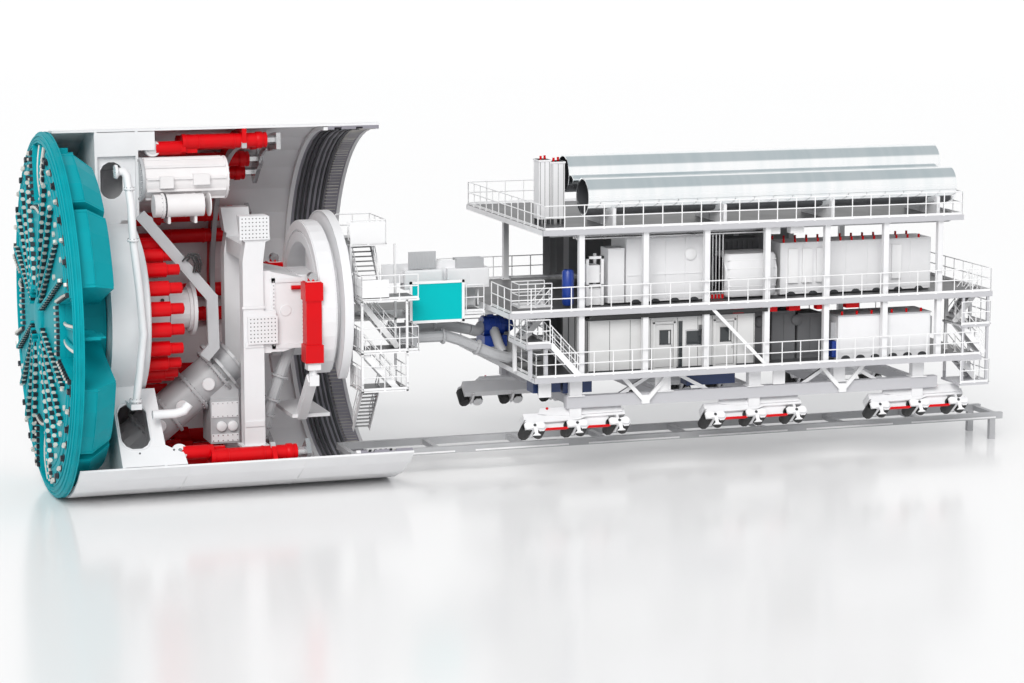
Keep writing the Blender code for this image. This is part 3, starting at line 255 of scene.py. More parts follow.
def repeat_tree(name, build, *inputs):
    """A Geometry Nodes tree with named inputs. build(tree, given) returns the socket of the realized geometry."""
    tree = bpy.data.node_groups.new(name, "GeometryNodeTree")
    tree.interface.new_socket("Geometry", in_out="INPUT", socket_type="NodeSocketGeometry")
    tree.interface.new_socket("Geometry", in_out="OUTPUT", socket_type="NodeSocketGeometry")
    for label, kind in inputs:
        tree.interface.new_socket(label, in_out="INPUT", socket_type=kind)
    tree.interface.new_socket("Finish", in_out="INPUT", socket_type="NodeSocketMaterial")
    given, done = tree.nodes.new("NodeGroupInput"), tree.nodes.new("NodeGroupOutput")
    real, finish = tree.nodes.new("GeometryNodeRealizeInstances"), tree.nodes.new("GeometryNodeSetMaterial")
    tree.links.new(build(tree, given), real.inputs[0])
    tree.links.new(real.outputs[0], finish.inputs["Geometry"])
    tree.links.new(given.outputs["Finish"], finish.inputs["Material"])
    tree.links.new(finish.outputs[0], done.inputs[0])
    return tree


def repeated(name, start, tree, finish, body, slot, **values):
    """Runs a repeat tree on a mesh or curve and keeps the plain mesh that it gives."""
    seed = bpy.data.objects.new(name + " seed", start)
    bpy.context.scene.collection.objects.link(seed)
    rule = seed.modifiers.new("repeat", "NODES")
    rule.node_group = tree
    values["Finish"] = finish
    for item in tree.interface.items_tree:
        if item.in_out == "INPUT" and item.name in values:
            rule[item.identifier] = values[item.name]
    seed.update_tag()
    bpy.context.view_layer.update()
    mesh = bpy.data.meshes.new_from_object(seed.evaluated_get(bpy.context.evaluated_depsgraph_get()))
    bpy.data.objects.remove(seed)
    mesh.name = name
    piece = bpy.data.objects.new(name, mesh)
    bpy.context.scene.collection.objects.link(piece)
    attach(piece, body)
    return piece


def spots(name, places, facing, turn=None):
    """Loose points by station, side and height, each with the way it faces and the way its shape is turned."""
    mesh = bpy.data.meshes.new(name)
    mesh.from_pydata([(s + FACE, y, z) for s, y, z in places], [], [])
    for label, ways in (("facing", facing), ("turn", turn or [(0, 0, 1)] * len(places))):
        layer = mesh.attributes.new(label, "FLOAT_VECTOR", "POINT")
        layer.data.foreach_set("vector", [c for way in ways for c in way])
    return mesh


def faced(tree, points, shape):
    """Puts the shape on every point, its Z along the point's facing and its X along its turn."""
    put = tree.nodes.new("GeometryNodeInstanceOnPoints")
    tree.links.new(points, put.inputs["Points"])
    tree.links.new(shape, put.inputs["Instance"])
    last = None
    for label, axis, pivot in (("facing", "Z", "AUTO"), ("turn", "X", "Z")):
        read = tree.nodes.new("GeometryNodeInputNamedAttribute")
        align = tree.nodes.new("FunctionNodeAlignRotationToVector")
        read.data_type = "FLOAT_VECTOR"
        read.inputs["Name"].default_value = label
        align.axis, align.pivot_axis = axis, pivot
        tree.links.new(read.outputs["Attribute"], align.inputs["Vector"])
        if last:
            tree.links.new(last, align.inputs["Rotation"])
        last = align.outputs["Rotation"]
    tree.links.new(last, put.inputs["Rotation"])
    return put.outputs[0]


def stud_heads(tree, given):
    head = tree.nodes.new("GeometryNodeMeshCylinder")
    for label in ("Vertices", "Radius", "Depth"):
        tree.links.new(given.outputs[label], head.inputs[label])
    return faced(tree, given.outputs["Geometry"], head.outputs["Mesh"])


def set_blocks(tree, given):
    cube = tree.nodes.new("GeometryNodeMeshCube")
    tree.links.new(given.outputs["Size"], cube.inputs["Size"])
    return faced(tree, given.outputs["Geometry"], cube.outputs["Mesh"])


studs = repeat_tree("studs", stud_heads, ("Vertices", "NodeSocketInt"), ("Radius", "NodeSocketFloat"),
                    ("Depth", "NodeSocketFloat"))
blocks = repeat_tree("blocks", set_blocks, ("Size", "NodeSocketVector"))


def bolts(name, places, facing, radius, depth, finish, body="machine", slot="grey_paint", sides=6):
    """Screw heads, one at each place. facing is one direction for all, or one for each."""
    facing = facing if isinstance(facing, list) else [facing] * len(places)
    return repeated(name, spots(name, places, facing), studs, finish, body, slot, Vertices=sides, Radius=radius,
                    Depth=depth)


teal = painted("teal paint", (0.0, 0.33, 0.385), 0.46, 0.10)
teal.node_tree.nodes["Principled BSDF"].inputs["Specular IOR Level"].default_value = 0.12
ivory = painted("worn cutter edge", (0.74, 0.71, 0.66), 0.30, 0.30, metal=0.2)
cutter_steel = painted("cutter steel", (0.022, 0.026, 0.036), 0.40, 0.3, metal=0.3)
coated(teal, "cutterhead")
OPENINGS = (0, 90, 180, 270)


def face_at(r):
    """Station of the wheel's front at a distance from its axis."""
    steps = ((0.0, -0.36), (3.50, -0.32), (3.62, -0.31), (3.80, -0.29), (3.95, -0.25), (4.07, -0.20))
    for (r0, s0), (r1, s1) in zip(steps, steps[1:]):
        if r <= r1:
            return s0 + (s1 - s0) * (r - r0) / (r1 - r0)
    return steps[-1][1]


def arc(s, r, a0, a1, step=2.5):
    count = max(1, math.ceil((a1 - a0) / step))
    return [(s, *around(r, a0 + (a1 - a0) * k / count)) for k in range(count + 1)]


ridges = []
for r, thick in ((4.00, 0.026), (3.91, 0.022)):
    ridges.append(tube(arc(face_at(r) - 0.004, r, 0, 360), thick, 8))
for k in range(4):
    for r, thick in ((3.80, 0.020), (3.60, 0.018), (3.40, 0.018)):
        ridges.append(tube(arc(face_at(r) - 0.004, r, 90 * k + 14.5, 90 * k + 75.5), thick, 8))
    for lane in (21, 37, 53, 69):
        a = 90 * k + lane
        ridges.append(bar((face_at(0.6) - 0.01, *around(0.6, a)), (face_at(3.25) - 0.01, *around(3.25, a)), 0.26,
                          0.05))
fitted("wheel_ridges", ridges, teal, "cutterhead")
fitted("rim_bands", [hoop(-0.195, -0.165, 4.055, 4.083), hoop(-0.105, -0.075, 4.055, 4.083)], teal, "cutterhead")
hubcap = barrel((-0.34, 0, AXIS_Z), (-0.46, 0, AXIS_Z), [(0, 0.46), (0.55, 0.44), (0.8, 0.38), (1, 0.24)], 36)
fitted("wheel_hubcap", [hubcap], teal, "cutterhead")

places, along = [], []
for k in range(4):
    for n, lane in enumerate((21, 37, 53, 69)):
        for i in range(24):
            r = 0.70 + i * 0.110 + 0.05 * (n % 2)
            a = 90 * k + lane
            places.append((face_at(r) - 0.06, *around(r, a)))
            y, z = around(1, a)
            along.append((0, y, z - AXIS_Z))
for k in range(4):                                     # gauge cutters round the rim, between the openings
    for i in range(8):
        a = 90 * k + 18 + i * 54 / 7
        places.append((face_at(3.70) - 0.03, *around(3.70, a)))
        y, z = around(1, a)
        along.append((0, y, z - AXIS_Z))
repeated("cutter_housings", spots("cutter housings", places[::2], [(-1, 0, 0)] * len(places[::2]), along[::2]),
         blocks, cutter_steel, "cutterhead", "teal_paint", Size=(0.095, 0.105, 0.10))
repeated("disc_cutters", spots("disc cutters", [(s - 0.02, y, z) for s, y, z in places[1::2]],
                               [(0, -w[2], w[1]) for w in along[1::2]], [(-1, 0, 0)] * len(places[1::2])), studs,
         ivory, "cutterhead", "bare_steel", Vertices=12, Radius=0.050, Depth=0.07)

# eye-shaped pockets round the lone cutters of the smooth outer plate, as flat dark plates: the housings' dark steel
# together with painted shade for the pockets' depth
pockets = []
for k in range(4):
    for i in range(8):
        a = 90 * k + 18 + i * 54 / 7
        s, y, z = face_at(3.70) - 0.004, *around(3.70, a)
        out_y, out_z = math.sin(math.radians(a)), -math.cos(math.radians(a))
        outline = [(0.13 * math.cos(2 * math.pi * j / 16), 0.065 * math.sin(2 * math.pi * j / 16)) for j in range(16)]
        pockets.append(between([[(s - lift, y + out_y * v - out_z * u, z + out_z * v + out_y * u) for u, v in outline]
                                for lift in (-0.01, 0.012)]))
fitted("cutter_pockets", pockets, cutter_steel, "cutterhead")

# hard-faced edges and scrapers of the openings, and the ribs behind their saddles
strips, edges, ribs = [], [], []
teeth, tooth_ways = [], []
for middle in OPENINGS:
    for side in (-1, 1):
        a = middle + side * 4.1
        path = []
        for k in range(9):
            r = 2.58 + 1.20 * k / 8
            path.append((-0.205 - 0.08 * math.sin(math.pi * (0.12 + 0.80 * k / 8)), *around(r, a)))
        strips.append(tube(path, 0.036, 8))
        inner = middle + side * 3.3
        edges.append(tube([(s + 0.035, *around(2.58 + 1.20 * k / 8, inner)) for k, (s, _, _) in enumerate(path)],
                          0.05, 8))
        a = middle + side * 14.6
        for k in range(8):
            r = 2.62 + 0.15 * k
            teeth.append((face_at(r) - 0.02, *around(r, a)))
            y, z = around(1, a)
            tooth_ways.append((0, y, z - AXIS_Z))
    for k in range(9):
        a = middle - 12 + 3 * k
        teeth.append((face_at(2.42) - 0.02, *around(2.42, a)))
        y, z = around(1, a + 90)
        tooth_ways.append((0, y, z - AXIS_Z))
    y0, z0 = around(2.75, middle)
    y1, z1 = around(3.72, middle)
    ribs.append(bar((0.14, y0, z0), (0.14, y1, z1), 0.40, 0.07))
    ribs.append(bar((0.20, *around(3.05, middle)), (0.20, *around(3.62, middle)), 0.52, 0.035))
fitted("opening_edges", strips, ivory, "cutterhead")
fitted("saddle_bars", edges, teal, "cutterhead")
fitted("opening_ribs", ribs, teal, "cutterhead")
repeated("scraper_blocks", spots("scraper blocks", teeth, [(-1, 0, 0)] * len(teeth), tooth_ways), blocks,
         cutter_steel, "cutterhead", "bare_steel", Size=(0.085, 0.10, 0.09))
repeated("scraper_tips", spots("scraper tips", [(s - 0.07, y, z) for s, y, z in teeth], [(-1, 0, 0)] * len(teeth),
                               tooth_ways),
         studs, ivory, "cutterhead", "bare_steel", Vertices=8, Radius=0.030, Depth=0.03)
buttons = [(face_at(r) - 0.02, *around(r, 90 * k + a)) for k in range(4) for r, a in
           ((3.30, 29), (3.22, 45), (3.30, 61), (2.9, 45), (2.3, 29), (2.3, 61), (1.8, 45))]
bolts("wear_buttons", buttons, (-1, 0, 0), 0.062, 0.05, ivory, body="cutterhead", slot="bare_steel", sides=16)

# weld seams and frames on the boxes behind the disc
seams = []
for a in (30, 60, 120, 150, 210, 240, 300, 330):
    for edge in (-12.6, 12.6):
        seams.append(tube([(0.02, *around(3.845, a + edge)), (0.24, *around(3.845, a + edge)),
                           (0.695, *around(3.49, a + edge))], 0.014, 6))
    seams.append(tube(arc(0.25, 3.85, a - 12.4, a + 12.4, 5), 0.012, 6))
    seams.append(tube(arc(0.70, 3.48, a - 12.4, a + 12.4, 5), 0.012, 6))
fitted("box_welds", seams, teal, "cutterhead")

# ------------------------------------------------------------------ shell and front frame
# The shield's shell is rolled plate, cut open on the near side so that the works can be seen. The front frame is a
# welded box behind the pressure wall, with webs and an oval manhole in each cut plate. Low bands cover the joints
# round the shell.
white = painted("white paint", (0.80, 0.80, 0.815), 0.40, 0.05)
grey = painted("grey paint", (0.47, 0.475, 0.49), 0.38, 0.12)
dark = painted("dark steel", (0.045, 0.047, 0.052), 0.5, 0.3)
red = painted("red paint", (0.66, 0.0, 0.004), 0.36, 0.10)
red.node_tree.nodes["Principled BSDF"].inputs["Specular IOR Level"].default_value = 0.22
bare = painted("bare steel", (0.62, 0.62, 0.63), 0.24, 0.25, metal=0.9, grain=400)
coated(white, "shield_skin", "front_frame")
CUT_ANGLE = -41.25                # the lower edge of the cut, in degrees from straight down
SHELL_ARC = (-41.0, 179.8)        # what is left of the round inside the shell

seams = [hoop(s, s + 0.022, 4.098, 4.106, a0, a1) for s in (2.42, 5.05) for a0, a1 in ((CUT_ANGLE, -12), (12, 180))]
fitted("shell_seams", seams, white)

# the rim of the oval manholes, and the small bolts and lifting holes of the cut plates; the holes are dark discs of
# painted shade
cut_way = Vector((0, math.cos(math.radians(CUT_ANGLE)), math.sin(math.radians(CUT_ANGLE))))


def on_cut(s, r, proud=0.0):
    y, z = around(r, CUT_ANGLE)
    return (s, y - cut_way.y * proud, z - cut_way.z * proud)


rim = []
for k in range(28):
    a0, a1 = 2 * math.pi * k / 28, 2 * math.pi * (k + 1) / 28
    rim.append(on_cut(1.325 + 0.345 * math.copysign(abs(math.cos(a0)) ** 0.6, math.cos(a0)),
                      3.0 + 0.615 * math.copysign(abs(math.sin(a0)) ** 0.6, math.sin(a0)), 0.004))
fitted("manhole_rim", [tube(rim + [rim[0]], 0.012, 6)], white)
bolts("cut_plate_holes", [on_cut(1.36, 3.70, 0.002), (on_cut(2.12, 3.66, 0.002))], tuple(-cut_way), 0.022, 0.012,
      dark, sides=12)

# ------------------------------------------------------------------ main drive and its motors
# The drive is a large bearing drum in the pressure wall. Its motors stand in a circle on the rear plate, each with
# collars and a long stepped housing, and the centre joint brings fluid to the turning cutterhead.
coated(white, "main_drive", "centre_joint")
coated(red, "drive_motors")
fitted("motor_plate_rim", [hoop(1.76, 1.80, 1.70, 1.80), hoop(0.90, 1.74, 1.93, 1.978, n=144)], white)
collars, tails, caps = [], [], []
for i in range(20):
    y, z = around(1.48, 18 * (i + 0.5))
    collars.append(barrel((1.80, y, z), (1.86, y, z), [(0, 0.175), (0.75, 0.175), (1, 0.165)], 20))
    collars.append(barrel((2.03, y, z), (2.07, y, z), [(0, 0.152), (1, 0.152)], 20))
    tails.append(barrel((1.84, y, z), (2.58, y, z),
                        [(0, 0.168), (0.60, 0.168), (0.62, 0.125), (0.97, 0.125), (1, 0.115)], 24))
    caps.append((2.585, y, z))
fitted("motor_collars", collars + tails, red)
bolts("motor_caps", caps, (1, 0, 0), 0.055, 0.03, dark, slot="grey_paint", sides=12)

rings = [hoop(2.50, 2.53, 0.40, 0.50, n=40), hoop(3.02, 3.10, 0.30, 0.595, n=40), hoop(3.10, 3.14, 0.18, 0.40, n=32),
         hoop(1.80, 1.84, 0.50, 0.66, n=40)]
fitted("joint_flanges", rings, white)
bolts("joint_bolts", [(3.11, *around(0.50, 30 * k)) for k in range(12)] +
      [(1.85, *around(0.62, 30 * k)) for k in range(12)], (1, 0, 0), 0.024, 0.03, bare)
bolts("joint_ports", [(2.30 + 0.16 * k, -0.50, 4.35 - 0.12 * k) for k in range(3)], (0, -0.8, 0.6), 0.045, 0.10, dark,
      sides=10)

# ------------------------------------------------------------------ man lock, feed pipe and link arm
# The man lock is a pressure vessel with ribs and bolted flanges, and a smaller lock hangs under it. The white feed
# pipe beside it is welded tube with bolted flanges. The link arm carries four short hose loops.
pale = painted("lock paint", (0.80, 0.775, 0.78), 0.33, 0.06)
coated(grey, "link_arm")
LOCK_Z, SMALL_Y, SMALL_Z = 7.05, -0.52, 6.50


def flange(name, centre, way, radius, thick, count, finish, body="machine", bore=0.0, spin=0.0):
    """A bolted flange about a line, with its nuts."""
    centre, way = Vector(centre), Vector(way).normalized()
    disc = barrel(centre - way * thick / 2, centre + way * thick / 2,
                  [(0, radius - 0.008), (0.15, radius), (0.85, radius), (1, radius - 0.008)], 32)
    fitted(name, [disc], finish, body)
    side, up = frame_at(way)
    ring = [centre + (side * math.cos(a) + up * math.sin(a)) * (radius * 0.86)
            for a in (2 * math.pi * (k + spin) / count for k in range(count))]
    both = [p + way * (thick / 2 + 0.006) * e for p in ring for e in (-1, 1)]
    bolts(name + "_nuts", [tuple(p) for p in both], [tuple(way * e) for p in ring for e in (-1, 1)],
          max(0.012, radius * 0.055), 0.03, bare, body=body)


flange("lock_front_flange", (1.955, 0, LOCK_Z), (1, 0, 0), 0.50, 0.07, 20, grey)
flange("lock_rear_flange", (3.86, 0, LOCK_Z), (1, 0, 0), 0.49, 0.05, 20, pale)
ribs = [barrel((1.94, 0, LOCK_Z), (3.88, 0, LOCK_Z), [(0, 0.455), (1, 0.455)], 64)]
for turn in (-62, -28, 6, 40, 74, 108):
    y, z = -math.cos(math.radians(turn)), math.sin(math.radians(turn))
    ribs.append(bar((2.02, 0.475 * y, LOCK_Z + 0.475 * z), (3.82, 0.475 * y, LOCK_Z + 0.475 * z), 0.05, 0.05))
ribs += [block(2.30, 2.60, -0.56, -0.44, LOCK_Z - 0.16, LOCK_Z + 0.10),
         block(3.05, 3.42, -0.57, -0.44, LOCK_Z - 0.10, LOCK_Z + 0.14)]
ribs += [block(s, s + 0.06, -0.60, -0.10, 6.10, 6.75) for s in (2.45, 3.05)]
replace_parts(fitted("lock_shell", ribs, pale, "machine", 30), "man_lock")
flange("small_lock_flange", (2.34, SMALL_Y, SMALL_Z), (1, 0, 0), 0.285, 0.05, 16, pale)
fitted("small_lock_seal", [barrel((2.38, SMALL_Y, SMALL_Z), (2.41, SMALL_Y, SMALL_Z), [(0, 0.262), (1, 0.262)], 28)],
       dark)
fitted("small_lock_shell", [barrel((2.14, SMALL_Y, SMALL_Z), (3.26, SMALL_Y, SMALL_Z), [(0, 0.255), (1, 0.255)], 56)],
       pale)
fitted("small_lock_bands", [barrel((s, SMALL_Y, SMALL_Z), (s + 0.03, SMALL_Y, SMALL_Z), [(0, 0.263), (1, 0.263)], 28)
                            for s in (2.85, 3.38)], pale)
pipe = tube([(1.06, -1.80, 7.42), (1.24, -1.80, 7.42), (1.31, -1.82, 7.32), (1.36, -2.00, 6.70), (1.37, -2.10, 5.95),
             (1.48, -2.10, 4.90), (1.56, -2.10, 3.90), (1.44, -2.10, 2.90), (1.35, -2.10, 2.30)], 0.085, 20)
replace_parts(fitted("feed_line", [pipe], white, "machine", 60), "feed_pipe")
fitted("drain_elbow", [tube([(1.70, -2.2, 2.10), (2.20, -2.2, 2.10), (2.40, -2.2, 2.15), (2.52, -2.2, 2.30)], 0.10,
                            18)], white, round_off=60)
flange("feed_top_flange", (1.08, -1.80, 7.42), (1, 0, 0), 0.15, 0.06, 8, white)
flange("feed_neck_flange", (1.35, -1.90, 7.05), (0, 0, 1), 0.125, 0.04, 8, white)
flange("feed_middle_flange", (1.37, -2.10, 5.95), (0, 0, 1), 0.13, 0.04, 8, white)
flange("feed_low_flange", (1.35, -2.10, 2.42), (0, 0, 1), 0.14, 0.05, 8, white)

hoses = []
for k, (dy, dz) in enumerate(((0.0, 0.0), (0.05, 0.05), (0.10, 0.0), (0.15, 0.05))):
    hoses.append(tube([(2.70 + dy, -0.86, 5.28 + dz), (2.78 + dy, -0.92, 5.40 + dz), (2.90 + dy, -0.92, 5.38 + dz),
                       (2.98 + dy, -0.90, 5.22), (2.94 + dy, -0.86, 5.02)], 0.020, 8))
hose_black = painted("black hose", (0.018, 0.018, 0.019), 0.45, 0.2)
fitted("link_hoses", hoses, hose_black, round_off=60)

# ------------------------------------------------------------------ screw conveyor
# A steel tube that leads up and back from the bottom of the pressure wall, in bolted lengths, with a gate box
# across it. Inspection lids and round covers are bolted on its near side.
coated(grey, "screw_conveyor")
low, high = Vector((1.45, 0, 0.92)), Vector((4.00, 0, 2.94))
screw_way = (high - low).normalized()
fitted("screw_tube", [barrel(low + screw_way * 0.30, high - screw_way * 0.02, [(0, 0.476), (1, 0.476)], 56)], grey)
for k, along in enumerate((0.62, 1.30, 2.05, 2.72)):
    flange(f"screw_flange_{k + 1}", low + screw_way * along, screw_way, 0.545 if k < 3 else 0.60, 0.07, 24, grey)
lids = []
for along in (1.62, 2.40, 0.95):
    p = low + screw_way * along + Vector((0, -0.46, 0))
    lids.append(barrel(p, p + Vector((0, -0.06, 0)), [(0, 0.15), (0.7, 0.15), (1, 0.13)], 24))
fitted("screw_lids", lids, white)
covers = [barrel((3.62 + 0.26 * k, -0.42, 1.42), (3.62 + 0.26 * k, -0.50, 1.42),
                 [(0, 0.115), (0.8, 0.115), (1, 0.09)], 24)
          for k in range(2)]
covers += [block(3.40, 4.02, -0.44, -0.425, 1.06, 1.24), block(3.40, 4.02, -0.44, -0.425, 1.62, 1.98)]
fitted("gate_covers", covers, white)
bolts("gate_bolts", [(3.43 + 0.112 * k, -0.445, z) for k in range(6) for z in (1.09, 1.21, 1.65, 1.95)], (0, -1, 0),
      0.014, 0.02, bare)

# ------------------------------------------------------------------ thrust cylinders
# Paired cylinders stand round the shell between the front frame and the carrier ring. Their red barrels carry
# collars and lugs, a steering jack with a white eye sits before each, and the rods end in curved shoes.
coated(red, "thrust_barrels")
coated(bare, "thrust_rams_1", "thrust_rams_2", "thrust_rams_3", "thrust_rams_4")
THRUST_R, JACK_R = 3.77, 3.64
angles = [-33.6 + 29.4 * k + turn for k in range(8) for turn in (-4.4, 4.4)]
collars, eyes, lugs, hubs, hub_ways = [], [], [], [], []
for angle in angles:
    y, z = around(THRUST_R, angle)
    for s, thick, r in ((2.95, 0.10, 0.178), (3.30, 0.04, 0.175), (4.10, 0.05, 0.178), (4.66, 0.14, 0.192),
                        (4.84, 0.06, 0.178)):
        collars.append(barrel((s, y, z), (s + thick, y, z), [(0, r - 0.008), (0.1, r), (0.9, r), (1, r - 0.008)], 24))
    collars.append(barrel((2.97, y, z), (4.88, y, z), [(0, 0.167), (1, 0.167)], 24))
    jy, jz = around(JACK_R, angle)
    collars.append(barrel((2.34, jy, jz), (2.96, jy, jz), [(0, 0.157), (0.9, 0.157), (1, 0.13)], 20))
    fy, fz = around(1, angle + 90)
    side = Vector((0, fy, fz - AXIS_Z))
    p = Vector((2.27, jy, jz))
    eyes.append(barrel(p - side * 0.12, p + side * 0.12, [(0, 0.17), (0.08, 0.185), (0.92, 0.185), (1, 0.17)], 28))
    eyes.append(barrel(p - side * 0.14, p + side * 0.14, [(0, 0.11), (1, 0.11)], 20))
    hubs.append(tuple(p - side * 0.145))
    hub_ways.append(tuple(-side))
    iy, iz = around(THRUST_R - 0.20, angle)
    lugs.append(block(2.98, 3.30, iy - 0.05, iy + 0.05, iz - 0.05, iz + 0.05))
fitted("cylinder_collars", collars, red)
fitted("jack_eyes", eyes, white)
fitted("cylinder_lugs", lugs, red)
bolts("jack_pins", hubs, hub_ways, 0.045, 0.02, bare, sides=16)
coated(grey, "support_frame")
fitted("carrier_edge", [hoop(4.295, 4.405, 3.60, 3.74, *SHELL_ARC)], grey)

# ------------------------------------------------------------------ columns, erector beam and suction pipe
# Two box columns carry the erector's beam. Their heads hold perforated plates, and the beam's near face has a
# bolted flange, a lifting hole and a small locking cylinder. The suction pipe climbs in front, in flanged lengths.
coated(white, "erector_beam", "support_frame")
coated(grey, "suction_pipe")
faces_near = [block(4.05, 4.44, -1.145, -1.125, 5.78, 6.22), block(4.04, 4.46, -1.145, -1.125, 3.30, 3.42),
              block(4.68, 5.46, -1.075, -1.052, 3.24, 3.34), block(4.68, 5.46, -1.075, -1.052, 4.74, 4.84),
              block(4.68, 4.76, -1.075, -1.052, 3.24, 4.84), block(4.03, 4.46, -1.145, -1.125, 1.50, 1.62),
              block(3.98, 4.50, -1.15, -1.125, 4.18, 4.24)]
faces_near += [block(3.94, 4.62, -1.175, -1.125, 5.74, 6.26), block(4.10, 4.78, -1.195, -1.125, 3.38, 4.00)]
fitted("column_plates", faces_near, white)
# the holes of the perforated plates are dark discs: painted shade in the holes
holes = [(4.00 + 0.08 * i, -1.178, 5.79 + 0.085 * j) for i in range(8) for j in range(6)]
holes += [(4.16 + 0.08 * i, -1.198, 3.44 + 0.085 * j) for i in range(8) for j in range(7)]
bolts("plate_holes", holes, (0, -1, 0), 0.013, 0.010, dark, sides=10)
bolts("beam_bolts", [(4.72, -1.08, 3.32 + 0.085 * k) for k in range(18)] +
      [(5.40, -1.055, 3.42 + 0.085 * k) for k in range(15)], (0, -1, 0), 0.017, 0.02, bare)
# the lifting hole is a dark disc: painted shade in the hole
bolts("beam_hole", [(5.00, -1.058, 4.10)], (0, -1, 0), 0.095, 0.014, dark, sides=28)
fitted("beam_hole_rim", [barrel((5.00, -1.052, 4.10), (5.00, -1.07, 4.10), [(0, 0.13), (1, 0.12)], 28)], white)
fitted("lock_cylinder", [barrel((5.12, -1.12, 4.62), (5.44, -1.12, 4.62),
                                [(0, 0.05), (0.8, 0.05), (0.82, 0.035), (1, 0.035)], 16)],
       red)
pipe_low, pipe_high = Vector((4.42, -0.54, 1.02)), Vector((5.24, -0.54, 3.28))
pipe_way = (pipe_high - pipe_low).normalized()
for k, along in enumerate((0.16, 0.42, 0.68, 1.04, 1.60)):
    flange(f"suction_flange_{k + 1}", pipe_low + pipe_way * along, pipe_way, 0.20, 0.045, 12, grey)

# ------------------------------------------------------------------ erector
# A ring that turns on the fixed collar carries two lifting cylinders and a gripping head. The cylinders are red with
# bare pins, and circles of bolts run round the faces of the ring and the collar.
coated(white, "erector_carriage", "erector_rotor", "erector_head")
fitted("rotor_face", [hoop(5.955, 5.985, 1.70, 1.90, 45, 315), hoop(5.595, 5.618, 1.70, 1.90, 62, 298)], white,
       "erector_rotor")
bolts("rotor_bolts", [(5.995, *around(1.80, 46 + 4.0 * k)) for k in range(68)], (1, 0, 0), 0.022, 0.03, bare,
      body="erector_rotor")
fitted("carriage_ribs", [hoop(6.10, 6.30, 2.085, 2.13, 44, 316), hoop(6.305, 6.33, 1.50, 2.05, 44, 316)], white,
       "erector_carriage")
bolts("carriage_bolts", [(6.335, *around(1.95, 46 + 4.0 * k)) for k in range(68)] +
      [(6.335, *around(1.60, 46 + 5.0 * k)) for k in range(54)], (1, 0, 0), 0.022, 0.03, bare,
      body="erector_carriage")
cylinders, shoulders = [], []
for side in (-1, 1):
    y = side * 1.80
    cylinders.append(block(5.25, 5.60, y - 0.175, y + 0.175, 3.02, 4.84))
    for z in (3.02, 4.42):
        cylinders.append(block(5.22, 5.63, y - 0.215, y + 0.215, z, z + 0.40))
    cylinders.append(barrel((5.43, y, 4.83), (5.43, y, 4.98), [(0, 0.11), (1, 0.09)], 20))
    cylinders.append(barrel((5.43, y, 2.852), (5.43, y, 3.02), [(0, 0.12), (1, 0.148)], 24))
    shoulders.append(barrel((5.43, y + side * 0.10, 4.94), (5.43, y - side * 0.10, 4.94), [(0, 0.10), (1, 0.10)], 20))
fitted("lift_cylinders", cylinders, red, "erector_rotor")
fitted("lift_pins", shoulders, bare, "erector_rotor")

# ------------------------------------------------------------------ tail skin and its seals
# The rear of the shell carries rows of wire brushes, its seals. Pale clamp rings hold them, dark ridges run between,
# and the last row shows its fine wires.
seal_grey = painted("brush plate", (0.27, 0.26, 0.30), 0.45, 0.15)
coated(seal_grey, "tail_seals")
fitted("tail_clamp_rings", [hoop(6.20, 6.30, 3.955, 4.03, *SHELL_ARC), hoop(7.42, 7.50, 3.955, 4.03, *SHELL_ARC)],
       white)
fitted("tail_ridges", [hoop(s, s + 0.055, 3.948, 3.975, *SHELL_ARC) for s in (6.38, 6.50, 6.62, 6.74, 6.86, 6.98)],
       dark)
wires = []
for k in range(150):
    a = -40.5 + 220.0 * k / 149
    wires.append(bar((7.08, *around(3.962, a)), (7.38, *around(3.962, a)), 0.016, 0.020))
fitted("tail_wires", wires, painted("brush wire", (0.52, 0.50, 0.47), 0.4, 0.3, metal=0.4))

# ------------------------------------------------------------------ access tower
# A light stair tower of square tube between the shield and the gantry. Its landings are checkered plate with toe
# boards, and every landing and flight has a handrail of white tube.
rail_white = painted("rail paint", (0.86, 0.86, 0.87), 0.35, 0.05)


def deck_paint(name, sides, top):
    """Paint for a decked frame: its upward faces wear a dark anti-slip coat with raised studs, the rest is painted."""
    coat = painted(name, sides, 0.37, 0.08)
    tree = coat.node_tree
    shader = tree.nodes["Principled BSDF"]
    paint = shader.inputs["Base Color"].links[0].from_socket
    facing, apart, upward = (tree.nodes.new(kind) for kind in
                             ("ShaderNodeNewGeometry", "ShaderNodeSeparateXYZ", "ShaderNodeMath"))
    upward.operation = "GREATER_THAN"
    upward.inputs[1].default_value = 0.75
    tree.links.new(facing.outputs["Normal"], apart.inputs[0])
    tree.links.new(apart.outputs["Z"], upward.inputs[0])
    place, studs_of, speck = (tree.nodes.new(kind) for kind in
                              ("ShaderNodeTexCoord", "ShaderNodeTexVoronoi", "ShaderNodeMapRange"))
    studs_of.inputs["Scale"].default_value = 26.0
    studs_of.inputs["Randomness"].default_value = 0.0
    tree.links.new(place.outputs["Object"], studs_of.inputs["Vector"])
    speck.inputs["From Min"].default_value, speck.inputs["From Max"].default_value = 0.15, 0.45
    speck.inputs["To Min"].default_value, speck.inputs["To Max"].default_value = 1.25, 0.85
    tree.links.new(studs_of.outputs["Distance"], speck.inputs["Value"])
    worn, blend = tree.nodes.new("ShaderNodeVectorMath"), tree.nodes.new("ShaderNodeMix")
    worn.operation = "SCALE"
    worn.inputs[0].default_value = top
    tree.links.new(speck.outputs[0], worn.inputs["Scale"])
    blend.data_type = "RGBA"
    tree.links.new(upward.outputs[0], blend.inputs["Factor"])
    tree.links.new(paint, blend.inputs["A"])
    tree.links.new(worn.outputs[0], blend.inputs["B"])
    tree.links.new(blend.outputs["Result"], shader.inputs["Base Color"])
    return coat


